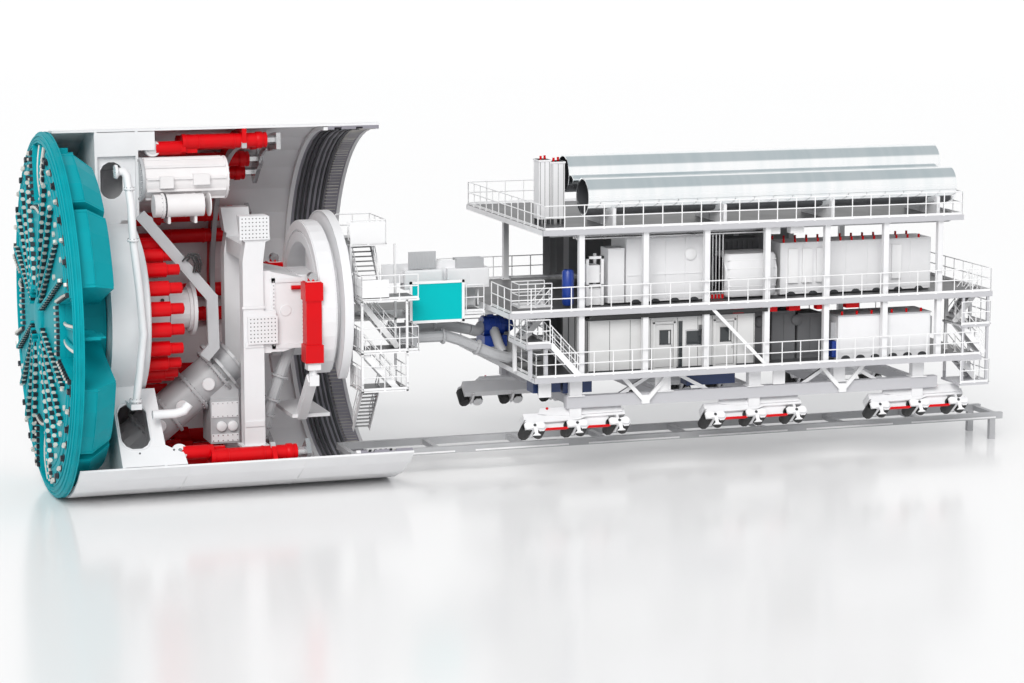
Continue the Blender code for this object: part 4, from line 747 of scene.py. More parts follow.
def railing(path, tall=0.55, reach=0.47, rails=(0.54, 1.0), kick=0.055):
    """Posts, rails and a toe board along a path of places on a deck."""
    forms = []
    for a, b in zip(path, path[1:]):
        a, b = Vector(a), Vector(b)
        count = max(1, round((b - a).length / reach))
        for k in range(count + 1):
            p = a + (b - a) * k / count
            forms.append(barrel(p, p + Vector((0, 0, tall)), [(0, 0.0135), (1, 0.0135)], 8))
            forms.append(barrel(p, p + Vector((0, 0, 0.012)), [(0, 0.030), (1, 0.026)], 8))
        for share in rails:
            forms.append(tube([a + Vector((0, 0, tall * share)), b + Vector((0, 0, tall * share))], 0.0135, 8))
        if kick:
            forms.append(bar(a + Vector((0, 0, kick / 2 + 0.004)), b + Vector((0, 0, kick / 2 + 0.004)), 0.012, kick))
    return forms


def flight(a, b, across, wide, treads, tall=0.46, both=True):
    """Treads on side strings, and a handrail on one or both sides. a and b are the ends of the flight's middle line."""
    a, b, across = Vector(a), Vector(b), Vector(across)
    steps, rails = [], []
    level = Vector((b.x - a.x, b.y - a.y, 0)).normalized()
    for k in range(treads):
        p = a + (b - a) * (k + 0.5) / treads + Vector((0, 0, 0.045))
        depth = 0.058
        steps.append(between([[p + across * (wide / 2 * e) + level * (depth * f) + Vector((0, 0, 0.010 * g))
                               for f, g in ((-1, -1), (1, -1), (1, 1), (-1, 1))] for e in (-1, 1)]))
    for e in ((-1, 1) if both else (-1,)):
        side = across * (wide / 2 + 0.012) * e
        rails.append(bar(a + side + Vector((0, 0, 0.02)), b + side + Vector((0, 0, 0.02)), 0.016, 0.13))
        rails.append(tube([a + side + Vector((0, 0, tall)), b + side + Vector((0, 0, tall))], 0.012, 8))
        rails.append(tube([a + side + Vector((0, 0, tall * 0.55)), b + side + Vector((0, 0, tall * 0.55))], 0.010, 8))
        for k in range(4):
            p = a + (b - a) * (k + 0.25) / 3.5 + side
            rails.append(barrel(p, p + Vector((0, 0, tall)), [(0, 0.012), (1, 0.012)], 8))
    return steps, rails


tower_paint = deck_paint("tower paint", (0.84, 0.84, 0.85), (0.10, 0.10, 0.105))
decks, posts = [], []
PLATE = 0.035
for z, s1 in ((4.40, 7.80), (3.22, 7.80), (2.35, 7.55)):
    decks.append(block(6.45, s1, -2.20, -1.20, z - PLATE, z))
decks += [block(6.45, 7.30, -1.30, 0.10, 5.515, 5.55), block(6.45, 7.54, -1.25, -0.62, 3.80, 3.85)]
for s in (6.45, 7.49):
    posts += [block(s, s + 0.05, -2.20, -2.15, 2.31, 4.39), block(s, s + 0.05, -1.25, -1.20, 2.31, 5.53)]
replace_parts(fitted("tower_frame", decks + posts, tower_paint, "machine"), "access_tower")
NEAR, FAR, FRONT, REAR = -2.18, -1.22, 6.47, 7.78
rails = railing([(FRONT, NEAR, 4.40), (REAR, NEAR, 4.40)])
rails += railing([(FRONT, NEAR, 3.22), (REAR, NEAR, 3.22), (REAR, FAR, 3.22)])
rails += railing([(FRONT, NEAR, 2.35), (REAR - 0.27, NEAR, 2.35), (REAR - 0.27, FAR, 2.35)])
rails += railing([(FRONT, -1.28, 5.55), (7.28, -1.28, 5.55), (7.28, 0.08, 5.55), (FRONT, 0.08, 5.55)])
for z in (2.35, 3.22, 4.40):
    rails += railing([(FRONT, NEAR, z), (FRONT, FAR, z)])
fitted("tower_rails", rails, rail_white)
panels = []
for z in (3.22, 4.40, 2.35):
    for k in range(6):
        y = NEAR + 0.08 + 0.155 * k
        panels.append(block(FRONT - 0.006, FRONT + 0.006, y, y + 0.11, z + 0.08, z + 0.48))
panels += [block(6.47, 7.28, -1.292, -1.280, 5.58, 6.06), block(6.47, 7.10, NEAR - 0.006, NEAR + 0.006, 4.44, 4.86)]
fitted("tower_screens", panels, rail_white)
steps, rails = [], []
for a, b, across, wide, count in (((6.85, -1.55, 2.34), (6.85, -0.62, 1.18), (1, 0, 0), 0.36, 12),
                                  ((6.51, -1.90, 3.20), (7.30, -1.90, 2.34), (0, 1, 0), 0.40, 9),
                                  ((6.51, -1.45, 4.38), (7.45, -1.45, 3.21), (0, 1, 0), 0.40, 12),
                                  ((6.90, -1.25, 4.40), (6.90, -0.35, 5.50), (1, 0, 0), 0.50, 11)):
    more_steps, more_rails = flight(a, b, across, wide, count)
    steps += more_steps
    rails += more_rails
tread_grey = painted("tread grey", (0.34, 0.34, 0.35), 0.5, 0.2)
fitted("tower_treads", steps, tread_grey)
fitted("tower_handrails", rails, rail_white)
bolts("tower_nuts", [(s, -2.215, z) for s in (6.475, 7.52) for z in (2.40, 2.50, 3.14, 3.28, 4.30, 4.36)], (0, -1, 0),
      0.016, 0.02, bare)

# ------------------------------------------------------------------ bridge, sign and slurry line
# A box beam ties the shield to the gantry, with plain cases and a lifting eye on its top and a walkway beside it. A
# blank sign plate hangs on the walkway's rail. Grey flanged pipes run under it to the blue slurry pump.
coated(deck_paint("bridge paint", (0.83, 0.83, 0.84), (0.13, 0.13, 0.135)), "bridge_beam")
sign_teal = painted("sign teal", (0.0, 0.47, 0.49), 0.5, 0.04)
sign_teal.node_tree.nodes["Principled BSDF"].inputs["Specular IOR Level"].default_value = 0.1
coated(sign_teal, "sign_board")
coated(grey, "slurry_pipes")
blue = painted("pump blue", (0.008, 0.045, 0.30), 0.28, 0.15)
coated(blue, "slurry_pump")
sign_edge = [block(7.79, 9.09, -1.47, -1.445, 3.72, 3.78), block(7.79, 9.09, -1.47, -1.445, 4.62, 4.68),
             block(7.79, 7.85, -1.47, -1.445, 3.72, 4.68), block(9.03, 9.09, -1.47, -1.445, 3.72, 4.68)]
fitted("sign_border", sign_edge, rail_white)
fitted("walkway_rails", railing([(7.88, -1.38, 3.92), (9.58, -1.38, 3.92)], 0.62), rail_white)
covers = [block(6.55, 7.85, -0.62, -0.602, 3.78, 3.90), block(6.55, 9.60, 0.602, 0.62, 3.78, 3.90),
          block(9.10, 9.12, -0.61, 0.55, 3.93, 4.20), block(8.46, 8.48, -0.575, -0.55, 3.95, 4.64),
          block(8.90, 8.92, -0.575, -0.55, 3.95, 4.64), block(9.34, 9.36, -0.575, -0.55, 3.95, 4.64),
          block(8.42, 9.58, -0.575, -0.55, 4.56, 4.60), block(8.42, 9.58, -0.575, -0.55, 3.95, 4.00)]
fitted("bridge_strips", covers, rail_white)
eye = [(9.30 + 0.09 * math.cos(a), -0.25, 4.76 + 0.09 * math.sin(a))
       for a in [2 * math.pi * k / 18 for k in range(19)]]
fitted("bridge_eye", [tube(eye, 0.022, 8), block(9.24, 9.36, -0.30, -0.20, 4.655, 4.69)], rail_white)
panels = [block(8.44, 9.62, -0.86, -0.84, 4.60, 5.06), block(7.30, 8.30, -0.86, -0.84, 4.58, 5.02),
          block(8.42, 8.46, -0.87, -0.83, 4.00, 5.06), block(9.58, 9.62, -0.87, -0.83, 4.00, 5.06),
          block(7.98, 8.02, -0.87, -0.83, 4.00, 5.00), block(8.26, 8.30, -0.87, -0.83, 4.00, 5.00)]
fitted("bridge_panels", panels, white)
cases = [block(7.80, 8.70, -1.02, -0.66, 4.43, 4.88), block(8.82, 9.82, -1.02, -0.66, 4.43, 4.88),
         block(7.82, 8.68, -1.032, -1.02, 4.47, 4.84), block(8.84, 9.30, -1.032, -1.02, 4.47, 4.84),
         block(9.34, 9.80, -1.032, -1.02, 4.47, 4.84)]
fitted("bridge_cases", cases, white)
fitted("bridge_case_top", [block(9.05, 9.70, -1.00, -0.68, 4.885, 5.10)], grey)
ribbed = [block(7.90, 8.55, -1.00, -0.97, 4.90, 5.30)]
ribbed += [block(7.92 + 0.08 * k, 7.95 + 0.08 * k, -1.015, -1.00, 4.92, 5.28) for k in range(8)]
fitted("bridge_grille", ribbed, grey)
for k, (place, way) in enumerate((((7.56, -0.95, 3.32), (1, 0, 0)), ((8.72, -0.95, 3.32), (1, 0, 0)),
                                  ((9.55, -0.95, 3.02), (0.91, 0, -0.41)), ((10.45, -0.95, 2.74), (1, 0, 0)),
                                  ((7.56, -0.63, 3.50), (1, 0, 0)), ((8.60, -0.63, 3.50), (1, 0, 0)))):
    flange(f"slurry_flange_{k + 1}", place, way, 0.185, 0.05, 10, grey)
elbow = [tube([(9.45, -0.63, 3.40), (9.62, -0.58, 3.34), (9.74, -0.45, 3.34), (9.86, -0.27, 3.40)], 0.125, 20),
         tube([(10.12, -0.45, 3.32), (10.12, -0.62, 3.20), (10.14, -0.80, 3.00), (10.20, -0.90, 2.86)], 0.115, 20)]
fitted("slurry_elbows", elbow, grey, round_off=60)
ribs = [barrel((s, -0.27, 3.40), (s + 0.03, -0.27, 3.40), [(0, 0.255), (1, 0.255)], 28)
        for s in (9.90, 10.02, 10.14, 10.26)]
ribs.append(barrel((10.37, -0.27, 3.40), (10.62, -0.27, 3.40), [(0, 0.16), (0.7, 0.16), (1, 0.12)], 24))
fitted("pump_ribs", ribs, blue)

# ------------------------------------------------------------------ gantry decks and posts
# Three plate decks on square posts, the lowest on a sill frame that stands on the roller bogies. Deck edges are
# folded grey plate, posts are white, and the decks carry handrails, stairs, cable trays and lamps. The sill frame
# takes the same grey as painted shade, for the shade under the low deck.
gantry_paint_and_sill_shade = deck_paint("gantry paint and sill shade", (0.83, 0.83, 0.845), (0.085, 0.085, 0.09))
tree = gantry_paint_and_sill_shade.node_tree
shader = tree.nodes["Principled BSDF"]
white_or_deck = shader.inputs["Base Color"].links[0].from_socket
place, apart, out_y = (tree.nodes.new(kind)
                       for kind in ("ShaderNodeTexCoord", "ShaderNodeSeparateXYZ", "ShaderNodeMath"))
tree.links.new(place.outputs["Object"], apart.inputs[0])
out_y.operation = "ABSOLUTE"
tree.links.new(apart.outputs["Y"], out_y.inputs[0])
edge, blend = tree.nodes.new("ShaderNodeMath"), tree.nodes.new("ShaderNodeMix")
edge.operation, edge.inputs[1].default_value = "GREATER_THAN", 2.83
tree.links.new(out_y.outputs[0], edge.inputs[0])
# Below z 2.035 the frame takes the deck edges' grey as painted shade: it darkens the sill frame under the low deck.
low, either = tree.nodes.new("ShaderNodeMath"), tree.nodes.new("ShaderNodeMath")
low.operation, low.inputs[1].default_value = "LESS_THAN", 2.035
tree.links.new(apart.outputs["Z"], low.inputs[0])
either.operation = "MAXIMUM"
tree.links.new(edge.outputs[0], either.inputs[0])
tree.links.new(low.outputs[0], either.inputs[1])
blend.data_type = "RGBA"
# the deck edges' grey paint, which is also the painted shade on the sill frame
blend.inputs["B"].default_value = (0.50, 0.50, 0.525, 1)
tree.links.new(either.outputs[0], blend.inputs["Factor"])
tree.links.new(white_or_deck, blend.inputs["A"])
tree.links.new(blend.outputs["Result"], shader.inputs["Base Color"])
coated(gantry_paint_and_sill_shade, "gantry_frame")

EDGE = 2.875
rails = railing([(10.34, -EDGE, 2.55), (21.46, -EDGE, 2.55)]) + railing([(10.34, EDGE, 2.55), (21.46, EDGE, 2.55)])
rails += railing([(9.74, -EDGE, 4.05), (21.71, -EDGE, 4.05), (21.71, EDGE, 4.05), (9.74, EDGE, 4.05)])
rails += railing([(9.74, -EDGE, 4.05), (9.74, -1.45, 4.05)]) + railing([(9.74, EDGE, 4.05), (9.74, 0.70, 4.05)])
rails += railing([(10.54, -EDGE, 5.90), (20.91, -EDGE, 5.90), (20.91, EDGE, 5.90), (10.54, EDGE, 5.90),
                  (10.54, -EDGE, 5.90)])
rails += railing([(10.12, -EDGE, 3.33), (10.67, -EDGE, 3.33)]) + railing([(10.12, -EDGE, 3.33), (10.12, -1.60, 3.33)])
rails += railing([(10.67, -2.42, 3.33), (10.67, -1.60, 3.33)])
rails += railing([(10.97, -2.12, 4.05), (10.18, -2.12, 4.05), (10.18, -1.58, 4.05), (10.97, -1.58, 4.05)])
rails += railing([(21.71, -EDGE, 3.27), (21.71, -1.92, 3.27)]) + railing([(21.71, -EDGE, 1.87), (21.71, -1.92, 1.87)])
rails += railing([(20.97, -EDGE, 3.27), (21.71, -EDGE, 3.27)]) + railing([(20.97, -EDGE, 1.87), (21.71, -EDGE, 1.87)])
rails += railing([(10.34, -EDGE, 2.55), (10.34, -1.3, 2.55)])
fitted("gantry_rails", rails, rail_white)
steps, rails = [], []
for a, b, wide, count in (((10.68, -2.66, 3.30), (11.38, -2.66, 2.54), 0.40, 8),
                          ((10.97, -1.85, 4.02), (10.30, -1.85, 3.31), 0.40, 8),
                          ((20.98, -2.62, 3.25), (21.60, -2.62, 2.55), 0.40, 7),
                          ((21.66, -2.16, 4.03), (21.02, -2.16, 3.25), 0.40, 8),
                          ((21.02, -2.16, 2.53), (21.62, -2.16, 1.87), 0.40, 7)):
    more_steps, more_rails = flight(a, b, (0, 1, 0), wide, count)
    steps += more_steps
    rails += more_rails
fitted("gantry_treads", steps, tread_grey)
fitted("gantry_handrails", rails, rail_white)

POSTS = (11.45, 13.00, 14.50, 16.00, 17.50, 19.00, 20.40)
feet = []
for s in POSTS:
    for y in (-2.75, 2.75):
        for z in (2.55, 4.05):
            feet.append(block(s - 0.105, s + 0.105, y - 0.105, y + 0.105, z, z + 0.018))
        for z in (4.05 - 0.135, 5.90 - 0.135):
            feet.append(block(s - 0.095, s + 0.095, y - 0.095, y + 0.095, z, z + 0.016))
for side in (-1, 1):
    for s in (11.43, 13.60, 15.85, 18.00, 20.05):
        feet.append(block(s - 0.20, s + 0.20, side * 2.40 - 0.15, side * 2.40 + 0.15, 2.02, 2.04))
for side in (-1, 1):
    for s in (13.10, 18.05):
        feet.append(block(s - 0.09, s + 0.09, side * 2.56 - 0.04, side * 2.56 + 0.04, 1.78, 1.98))
        for e in (-1, 1):
            feet.append(bar((s + 0.04 * e, side * 2.56, 1.86), (s + 0.60 * e, side * 2.56, 2.47), 0.06, 0.09))
feet.append(bar((14.55, -2.84, 4.02), (15.95, -2.84, 2.60), 0.05, 0.075))          # the brace beside the cabin
fitted("post_feet", feet, rail_white)
places = []
for s in POSTS:
    for y in (-2.75, 2.75):
        for z in (2.572, 4.072):
            places += [(s + i * 0.085, y + j * 0.085, z) for i in (-1, 1) for j in (-1, 1)]
bolts("post_nuts", places, (0, 0, 1), 0.014, 0.02, bare)

# cable trays, joists and lamps under the decks
trays, rungs, lamps = [], [], []
for z, s0, s1 in ((3.88, 10.0, 21.5), (5.72, 10.8, 20.8)):
    for y in (-2.45, -2.15, 0.4, 0.75, 2.2, 2.5):
        trays.append(bar((s0, y, z), (s1, y, z), 0.012, 0.05))
    for y0, y1 in ((-2.45, -2.15), (0.4, 0.75), (2.2, 2.5)):
        s = s0 + 0.1
        while s < s1:
            rungs.append(bar((s, y0, z - 0.015), (s, y1, z - 0.015), 0.02, 0.012))
            s += 0.25
    for s in (10.9, 11.9, 12.9, 13.9, 14.9, 15.9, 16.9, 17.9, 18.9, 19.9, 20.6):
        rungs.append(bar((s, -2.86, z + 0.10), (s, 2.86, z + 0.10), 0.05, 0.11))
for z, stations in ((3.84, (17.0, 18.2, 19.4)), (5.68, (15.1, 16.6, 18.1, 19.6))):
    for s in stations:
        for y in (-1.4, 1.6):
            lamps.append(block(s - 0.16, s + 0.16, y - 0.05, y + 0.05, z, z + 0.05))
fitted("cable_trays", trays + rungs, grey)
fitted("deck_lamps", lamps, red)
cables = []
for z, s0, s1 in ((3.90, 10.0, 21.5), (5.74, 10.8, 20.8)):
    for y0 in (-2.42, 0.43, 2.23):
        for k in range(5):
            cables.append(tube([(s0 + 0.1 * k, y0 + 0.055 * k, z), (s1 - 0.07 * k, y0 + 0.055 * k, z)], 0.020, 8))
fitted("tray_cables", cables, hose_black)
# two black bars under the mid deck's edge along the cabin: a painted shadow line where the cabin meets the deck
shadow_line_bars = [bar((11.62, -2.845, 3.885), (16.0, -2.845, 3.885), 0.02, 0.05),
             bar((11.62, -2.835, 3.84), (16.0, -2.835, 3.84), 0.03, 0.03)]
fitted("deck_edge_shadow_line", shadow_line_bars, hose_black)

# far-side cladding, which closes the gantry off behind the machinery
cladding, frames = [], []
for s0, s1 in ((12.40, 12.93), (13.07, 14.43), (14.57, 15.93), (16.07, 17.43), (17.57, 18.93)):
    for z0, z1 in ((2.62, 3.90), (4.12, 5.76)):
        cladding.append(block(s0, s1, 2.70, 2.725, z0, z1))
        for k in range(1, 3):
            s = s0 + (s1 - s0) * k / 3
            frames.append(block(s - 0.02, s + 0.02, 2.672, 2.70, z0, z1))
        frames += [block(s0, s1, 2.672, 2.70, z0, z0 + 0.04), block(s0, s1, 2.672, 2.70, z1 - 0.04, z1)]
cladding_grey = painted("cladding grey", (0.34, 0.345, 0.355), 0.5, 0.15)
panel_grey = painted("panel grey", (0.13, 0.133, 0.14), 0.5, 0.2)
fitted("far_cladding", cladding, cladding_grey)
fitted("cladding_frames", frames, cladding_grey)

# ------------------------------------------------------------------ roller bogies
# Six bogies carry the gantry, canted to a round track, each a beam of three units with two black rollers. White
# cast end plates hold the axles, and red guards hang between the units.
coated(white, *[f"bogie_{n}_{side}" for n in (1, 2, 3) for side in ("near", "far")])
tyre = painted("roller tyre", (0.020, 0.020, 0.021), 0.62, 0.25, grain=90)
STATIONS = (11.43, 15.85, 20.05)   # the middles of the three pairs of bogies
UNIT = 1.025                       # from one unit of a bogie to the next
TRACK_R, CANT = 3.70, math.radians(40.0)
TYRE = [(0, 0.118), (0.05, 0.130), (0.95, 0.130), (1, 0.118)]
caps, pins, pin_ways, guards, dots, dot_ways, beams, rubber, webs = [], [], [], [], [], [], [], [], []
for middle in STATIONS:
    for side in (-1, 1):
        out = Vector((0, side * math.sin(CANT), -math.cos(CANT)))
        up = Vector((0, side * math.cos(CANT), math.sin(CANT)))
        ahead = Vector((1, 0, 0))
        centre = Vector((0, 0, AXIS_Z)) + out * TRACK_R
        first = middle - UNIT
        for k in range(3):
            s = first + k * UNIT
            at = centre + ahead * s
            # a dog-bone plate on the axle ends, its stem and its foot
            bone = []
            for i in range(28):
                t = 2 * math.pi * i / 28
                x = 0.245 * math.cos(t)
                bone.append((x, math.copysign(min(abs(0.105 * math.sin(t)) + 0.02, 0.055 + 0.050 * abs(x / 0.245)),
                                              math.sin(t))))
            caps.append(between([[at + up * lift + ahead * x + out * -y for x, y in bone]
                                 for lift in (0.245, 0.280)]))
            stem = [(-0.03, 0.05), (0.06, 0.05), (0.045, 0.20), (0.10, 0.245), (-0.10, 0.245), (-0.03, 0.20)]
            caps.append(between([[at + up * lift + ahead * x + out * y for x, y in stem] for lift in (0.225, 0.262)]))
            pins.append(tuple(at + up * 0.286))
            pin_ways.append(tuple(up))
            trail = at + ahead * 0.17
            rubber.append(barrel(trail - up * 0.17, trail + up * 0.19, TYRE, 28))
        for k in range(2):
            s = first + (k + 0.5) * UNIT
            at = centre + ahead * s
            guards.append(between([[at + up * lift + out * depth + ahead * x for x, depth in
                                    ((-0.30, 0.045), (0.30, 0.045), (0.30, 0.095), (-0.30, 0.095))]
                                   for lift in (0.16, 0.20)]))
            webs.append(between([[at + up * lift + out * depth + ahead * x for x, depth in
                                  ((-0.33, -0.18), (0.33, -0.18), (0.24, 0.045), (-0.24, 0.045))]
                                 for lift in (0.10, 0.14)]))
        low = centre + ahead * (first + 0.5)
        beams.append(between([[low + up * lift + out * depth + ahead * x for x, depth in
                               ((-0.72, -0.12), (-0.55, -0.25), (0.60, -0.27), (0.78, -0.17), (0.60, -0.10),
                                (-0.60, -0.08))]
                              for lift in (0.20, 0.245)]))
        top = centre + ahead * (middle + 0.14)
        beams.append(between([[top + up * lift + out * depth + ahead * x for x, depth in
                               ((-1.02, -0.30), (-0.94, -0.44), (0.90, -0.46), (1.02, -0.40), (1.02, -0.24),
                                (-0.60, -0.22))]
                              for lift in (0.19, 0.26)]))
        for e in (-0.78, 0.42):
            dots.append(tuple(top + up * 0.27 + out * -0.42 + ahead * e))
            dot_ways.append(tuple(up))
fitted("bogie_caps", caps, rail_white)
fitted("bogie_beams", beams + webs, white)
fitted("bogie_guards", guards, red)
fitted("trailing_tyres", rubber, tyre)
bolts("bogie_pins", pins, pin_ways, 0.034, 0.016, dark, sides=16)
bolts("bogie_reflectors", dots, dot_ways, 0.030, 0.02, red, slot="red_paint", sides=14)
for n in (1, 2, 3):
    for side, sign in (("near", -1), ("far", 1)):
        for k in (1, 2, 3):
            name = f"roller_{n}_{side}_{k}"
            coated(tyre, name)
            out = Vector((0, sign * math.sin(CANT), -math.cos(CANT)))
            up = Vector((0, sign * math.cos(CANT), math.sin(CANT)))
            at = Vector((STATIONS[n - 1] - UNIT + (k - 1) * UNIT - 0.17, 0, AXIS_Z)) + out * TRACK_R
            fitted(f"tyre_{n}_{side}_{k}", [barrel(at - up * 0.17, at + up * 0.19, TYRE, 28)], tyre, name)

# ------------------------------------------------------------------ control cabin
# The driver's cabin on the low deck is a hollow room of pale pressed panels with thin dark joints. It has a framed
# window beside a narrow one, two hinged steel doors with glazed lights, and a desk and seat inside.
cabin_paint = deck_paint("cabin paint", (0.66, 0.66, 0.66), (0.30, 0.30, 0.305))
coated(cabin_paint, "cabin")
coated(painted("door paint", (0.62, 0.62, 0.62), 0.4, 0.1), "cabin_door_1", "cabin_door_2")
strips, rims = [], []
DOORS = ((13.31, 13.75), (14.81, 15.25))
for s in (11.70, 12.20, 12.70, 13.20, 13.86, 14.36, 14.72, 15.34, 15.76):
    strips.append(block(s - 0.005, s + 0.005, -2.603, -2.60, 2.60, 3.74))
for k in range(9):
    s = 11.70 + 4.06 * k / 8
    strips.append(block(s - 0.012, s + 0.012, -0.80, -0.788, 2.60, 3.74))
for y in (-2.58, -2.15, -1.70, -1.25, -0.82):
    strips.append(block(11.668, 11.68, y - 0.012, y + 0.012, 2.60, 3.74))
    strips.append(block(15.78, 15.792, y - 0.012, y + 0.012, 2.60, 3.74))
fitted("cabin_strips", strips, dark)
for s0, s1 in DOORS:
    for x0, x1, z0, z1 in ((s0 - 0.055, s0 - 0.01, 2.57, 3.66), (s1 + 0.01, s1 + 0.055, 2.57, 3.66),
                           (s0 - 0.055, s1 + 0.055, 3.625, 3.665)):
        rims.append(block(x0, x1, -2.625, -2.60, z0, z1))
fitted("door_frames", rims, cabin_paint)
trim = [block(11.66, 15.80, -2.620, -2.60, 3.76, 3.80), block(11.655, 11.68, -2.61, -0.79, 3.76, 3.80)]
fitted("cabin_cornice", trim, dark)
foot = [block(11.69, 13.24, -2.615, -2.60, 2.55, 2.60), block(13.84, 14.74, -2.615, -2.60, 2.55, 2.60),
        block(15.32, 15.77, -2.615, -2.60, 2.55, 2.60)]
fitted("cabin_plinth", foot, dark)
for k, (s0, s1) in enumerate(DOORS):
    name = f"cabin_door_{k + 1}"
    frame_bits = [block(s0 + 0.105, s0 + 0.125, -2.615, -2.598, 3.13, 3.47),
                  block(s1 - 0.075, s1 - 0.055, -2.615, -2.598, 3.13, 3.47),
                  block(s0 + 0.105, s1 - 0.055, -2.615, -2.598, 3.13, 3.15),
                  block(s0 + 0.105, s1 - 0.055, -2.615, -2.598, 3.45, 3.47)]
    fitted(f"door_light_frame_{k + 1}", frame_bits, dark, name)
    handle = [tube([(s1 - 0.045, -2.60, 2.98), (s1 - 0.045, -2.635, 2.98), (s1 - 0.045, -2.635, 3.12),
                    (s1 - 0.045, -2.60, 3.12)], 0.009, 8)]
    fitted(f"door_handle_{k + 1}", handle, bare, name)
gratings = []
for k in range(7):
    s = 14.38 + 0.040 * k
    gratings.append(block(s, s + 0.022, -2.618, -2.60, 3.30, 3.55))
fitted("cabin_vents", gratings, dark)
glass = bpy.data.materials.new("window glass")
glass.use_nodes = True
pane = glass.node_tree.nodes["Principled BSDF"]
pane.inputs["Base Color"].default_value = (0.02, 0.025, 0.028, 1)
pane.inputs["Roughness"].default_value = 0.06
pane.inputs["Specular IOR Level"].default_value = 0.7
haze = glass.node_tree.nodes.new("ShaderNodeTexNoise")
haze.inputs["Scale"].default_value = 6.0
place = glass.node_tree.nodes.new("ShaderNodeTexCoord")
tone = glass.node_tree.nodes.new("ShaderNodeMapRange")
tone.inputs["To Min"].default_value, tone.inputs["To Max"].default_value = 0.04, 0.12
glass.node_tree.links.new(place.outputs["Object"], haze.inputs["Vector"])
glass.node_tree.links.new(haze.outputs["Fac"], tone.inputs["Value"])
glass.node_tree.links.new(tone.outputs[0], pane.inputs["Roughness"])
panes = [block(14.08, 14.44, -2.614, -2.602, 3.10, 3.42), block(13.88, 13.98, -2.610, -2.602, 2.60, 3.66)]
fitted("cabin_panes", panes, glass)
fitted("cabin_pane_frames", [block(14.05, 14.47, -2.608, -2.60, 3.07, 3.45)], bare)
for k, (s0, s1) in enumerate(DOORS):
    fitted(f"door_pane_{k + 1}", [block(s0 + 0.11, s1 - 0.11, -2.596, -2.590, 3.14, 3.46)], glass,
           f"cabin_door_{k + 1}")
inside = [block(12.35, 13.10, -1.35, -0.95, 3.02, 3.06), block(12.35, 12.40, -1.35, -0.95, 2.60, 3.02),
          block(13.05, 13.10, -1.35, -0.95, 2.60, 3.02),
          block(12.45, 12.95, -1.02, -0.98, 3.06, 3.34), block(12.62, 12.86, -1.80, -1.56, 2.82, 2.88),
          block(12.62, 12.86, -1.84, -1.80, 2.86, 3.22),
          barrel((12.74, -1.68, 2.60), (12.74, -1.68, 2.82), [(0, 0.10), (0.1, 0.03), (1, 0.03)], 14)]
fitted("cabin_desk", inside, dark)

# ------------------------------------------------------------------ low-deck cabinets and pump row
# Behind the cabin stand dark cabinets with round fan covers, and a white one on a base with fork pockets and with
# signal lamps on its lid. Red blocks hang below the deck above, and blue power packs below the low deck.
coated(white, "lower_cabinet")
faces, pockets = [], []


def cabinet_front(s0, s1, y, z0, z1, doors, proud=0.012):
    """Door leaves with gaps between them on a cabinet's near face."""
    leaves = []
    step = (s1 - s0) / doors
    for k in range(doors):
        leaves.append(block(s0 + step * k + 0.012, s0 + step * (k + 1) - 0.012, y - proud, y, z0 + 0.10, z1 - 0.03))
    return leaves


def pocket(s, y, z, half=0.11, tall=0.075):
    """A half-oval opening in a cabinet's base, as a dark plate set on it: painted shade in the opening."""
    outline = [(s + half * math.cos(math.pi * k / 10), z + tall * math.sin(math.pi * k / 10)) for k in range(11)]
    return between([[(x, y - 0.018, v) for x, v in outline], [(x, y + 0.004, v) for x, v in outline]])


def lamp_row(name, places):
    bolts(name, [(s, y, z + 0.035) for s, y, z in places], (0, 0, 1), 0.027, 0.10, red, slot="red_paint", sides=10)


faces += cabinet_front(17.92, 19.06, -2.60, 2.60, 3.57, 1) + cabinet_front(19.10, 20.26, -2.60, 2.60, 3.57, 1)
# the fork pockets are dark plates: painted shade in the openings
pockets += [pocket(s, -2.60, 2.575) for s in (18.10, 18.48, 18.86, 19.32, 19.70, 20.08)]
fitted("low_cabinet_doors", faces, white)
fitted("low_cabinet_pocket_shade", pockets, dark)
cap = [block(17.88, 20.30, -2.62, -1.68, 3.572, 3.60), block(17.78, 17.90, -2.45, -2.05, 3.02, 3.42),
       block(20.28, 20.40, -2.45, -2.05, 3.02, 3.46)]
fitted("low_cabinet_cap", cap, grey)
lamp_row("low_cabinet_lamps", [(s, -2.54, 3.60) for s in (18.02, 18.40, 18.78, 19.30, 19.68, 20.06)])
blue_bit = [block(17.80, 17.90, -2.50, -2.30, 2.60, 2.98)]
fitted("low_cabinet_motor", blue_bit, blue)
fan_case = [block(15.84, 16.36, -2.10, -1.40, 2.552, 3.74), block(16.42, 17.02, -2.10, -1.40, 2.552, 3.70),
            block(17.08, 17.70, -2.10, -1.40, 2.552, 3.62)]
fitted("fan_cabinets", fan_case, panel_grey)
fan_doors = []
for s0, s1, top, doors in ((15.84, 16.36, 3.70, 1), (16.42, 17.02, 3.66, 2), (17.08, 17.70, 3.58, 2)):
    fan_doors += cabinet_front(s0, s1, -2.10, 2.55, top, doors)
fitted("fan_cabinet_doors", fan_doors, panel_grey)
covers = []
for s, z in ((16.10, 3.47), (17.05, 3.47)):
    covers.append(barrel((s, -2.112, z), (s, -2.165, z), [(0, 0.13), (0.6, 0.13), (1, 0.10)], 24))
fitted("fan_covers", covers, panel_grey)
fitted("fan_knob", [barrel((15.84, -2.11, 3.60), (15.84, -2.18, 3.60), [(0, 0.045), (1, 0.04)], 14)], red)
hanging = []
for s0, s1 in ((15.20, 15.46), (15.95, 16.30), (16.60, 16.88), (17.30, 17.62), (18.05, 18.38)):
    hanging.append(block(s0, s1, -2.70, -2.52, 3.79, 3.90))
fitted("hanging_blocks", hanging, red)
under = []
for s in (10.52, 13.36, 16.30):
    under.append(block(s, s + 0.30, -2.52, -2.48, 2.04, 2.40))
fitted("sill_plates", under, rail_white)
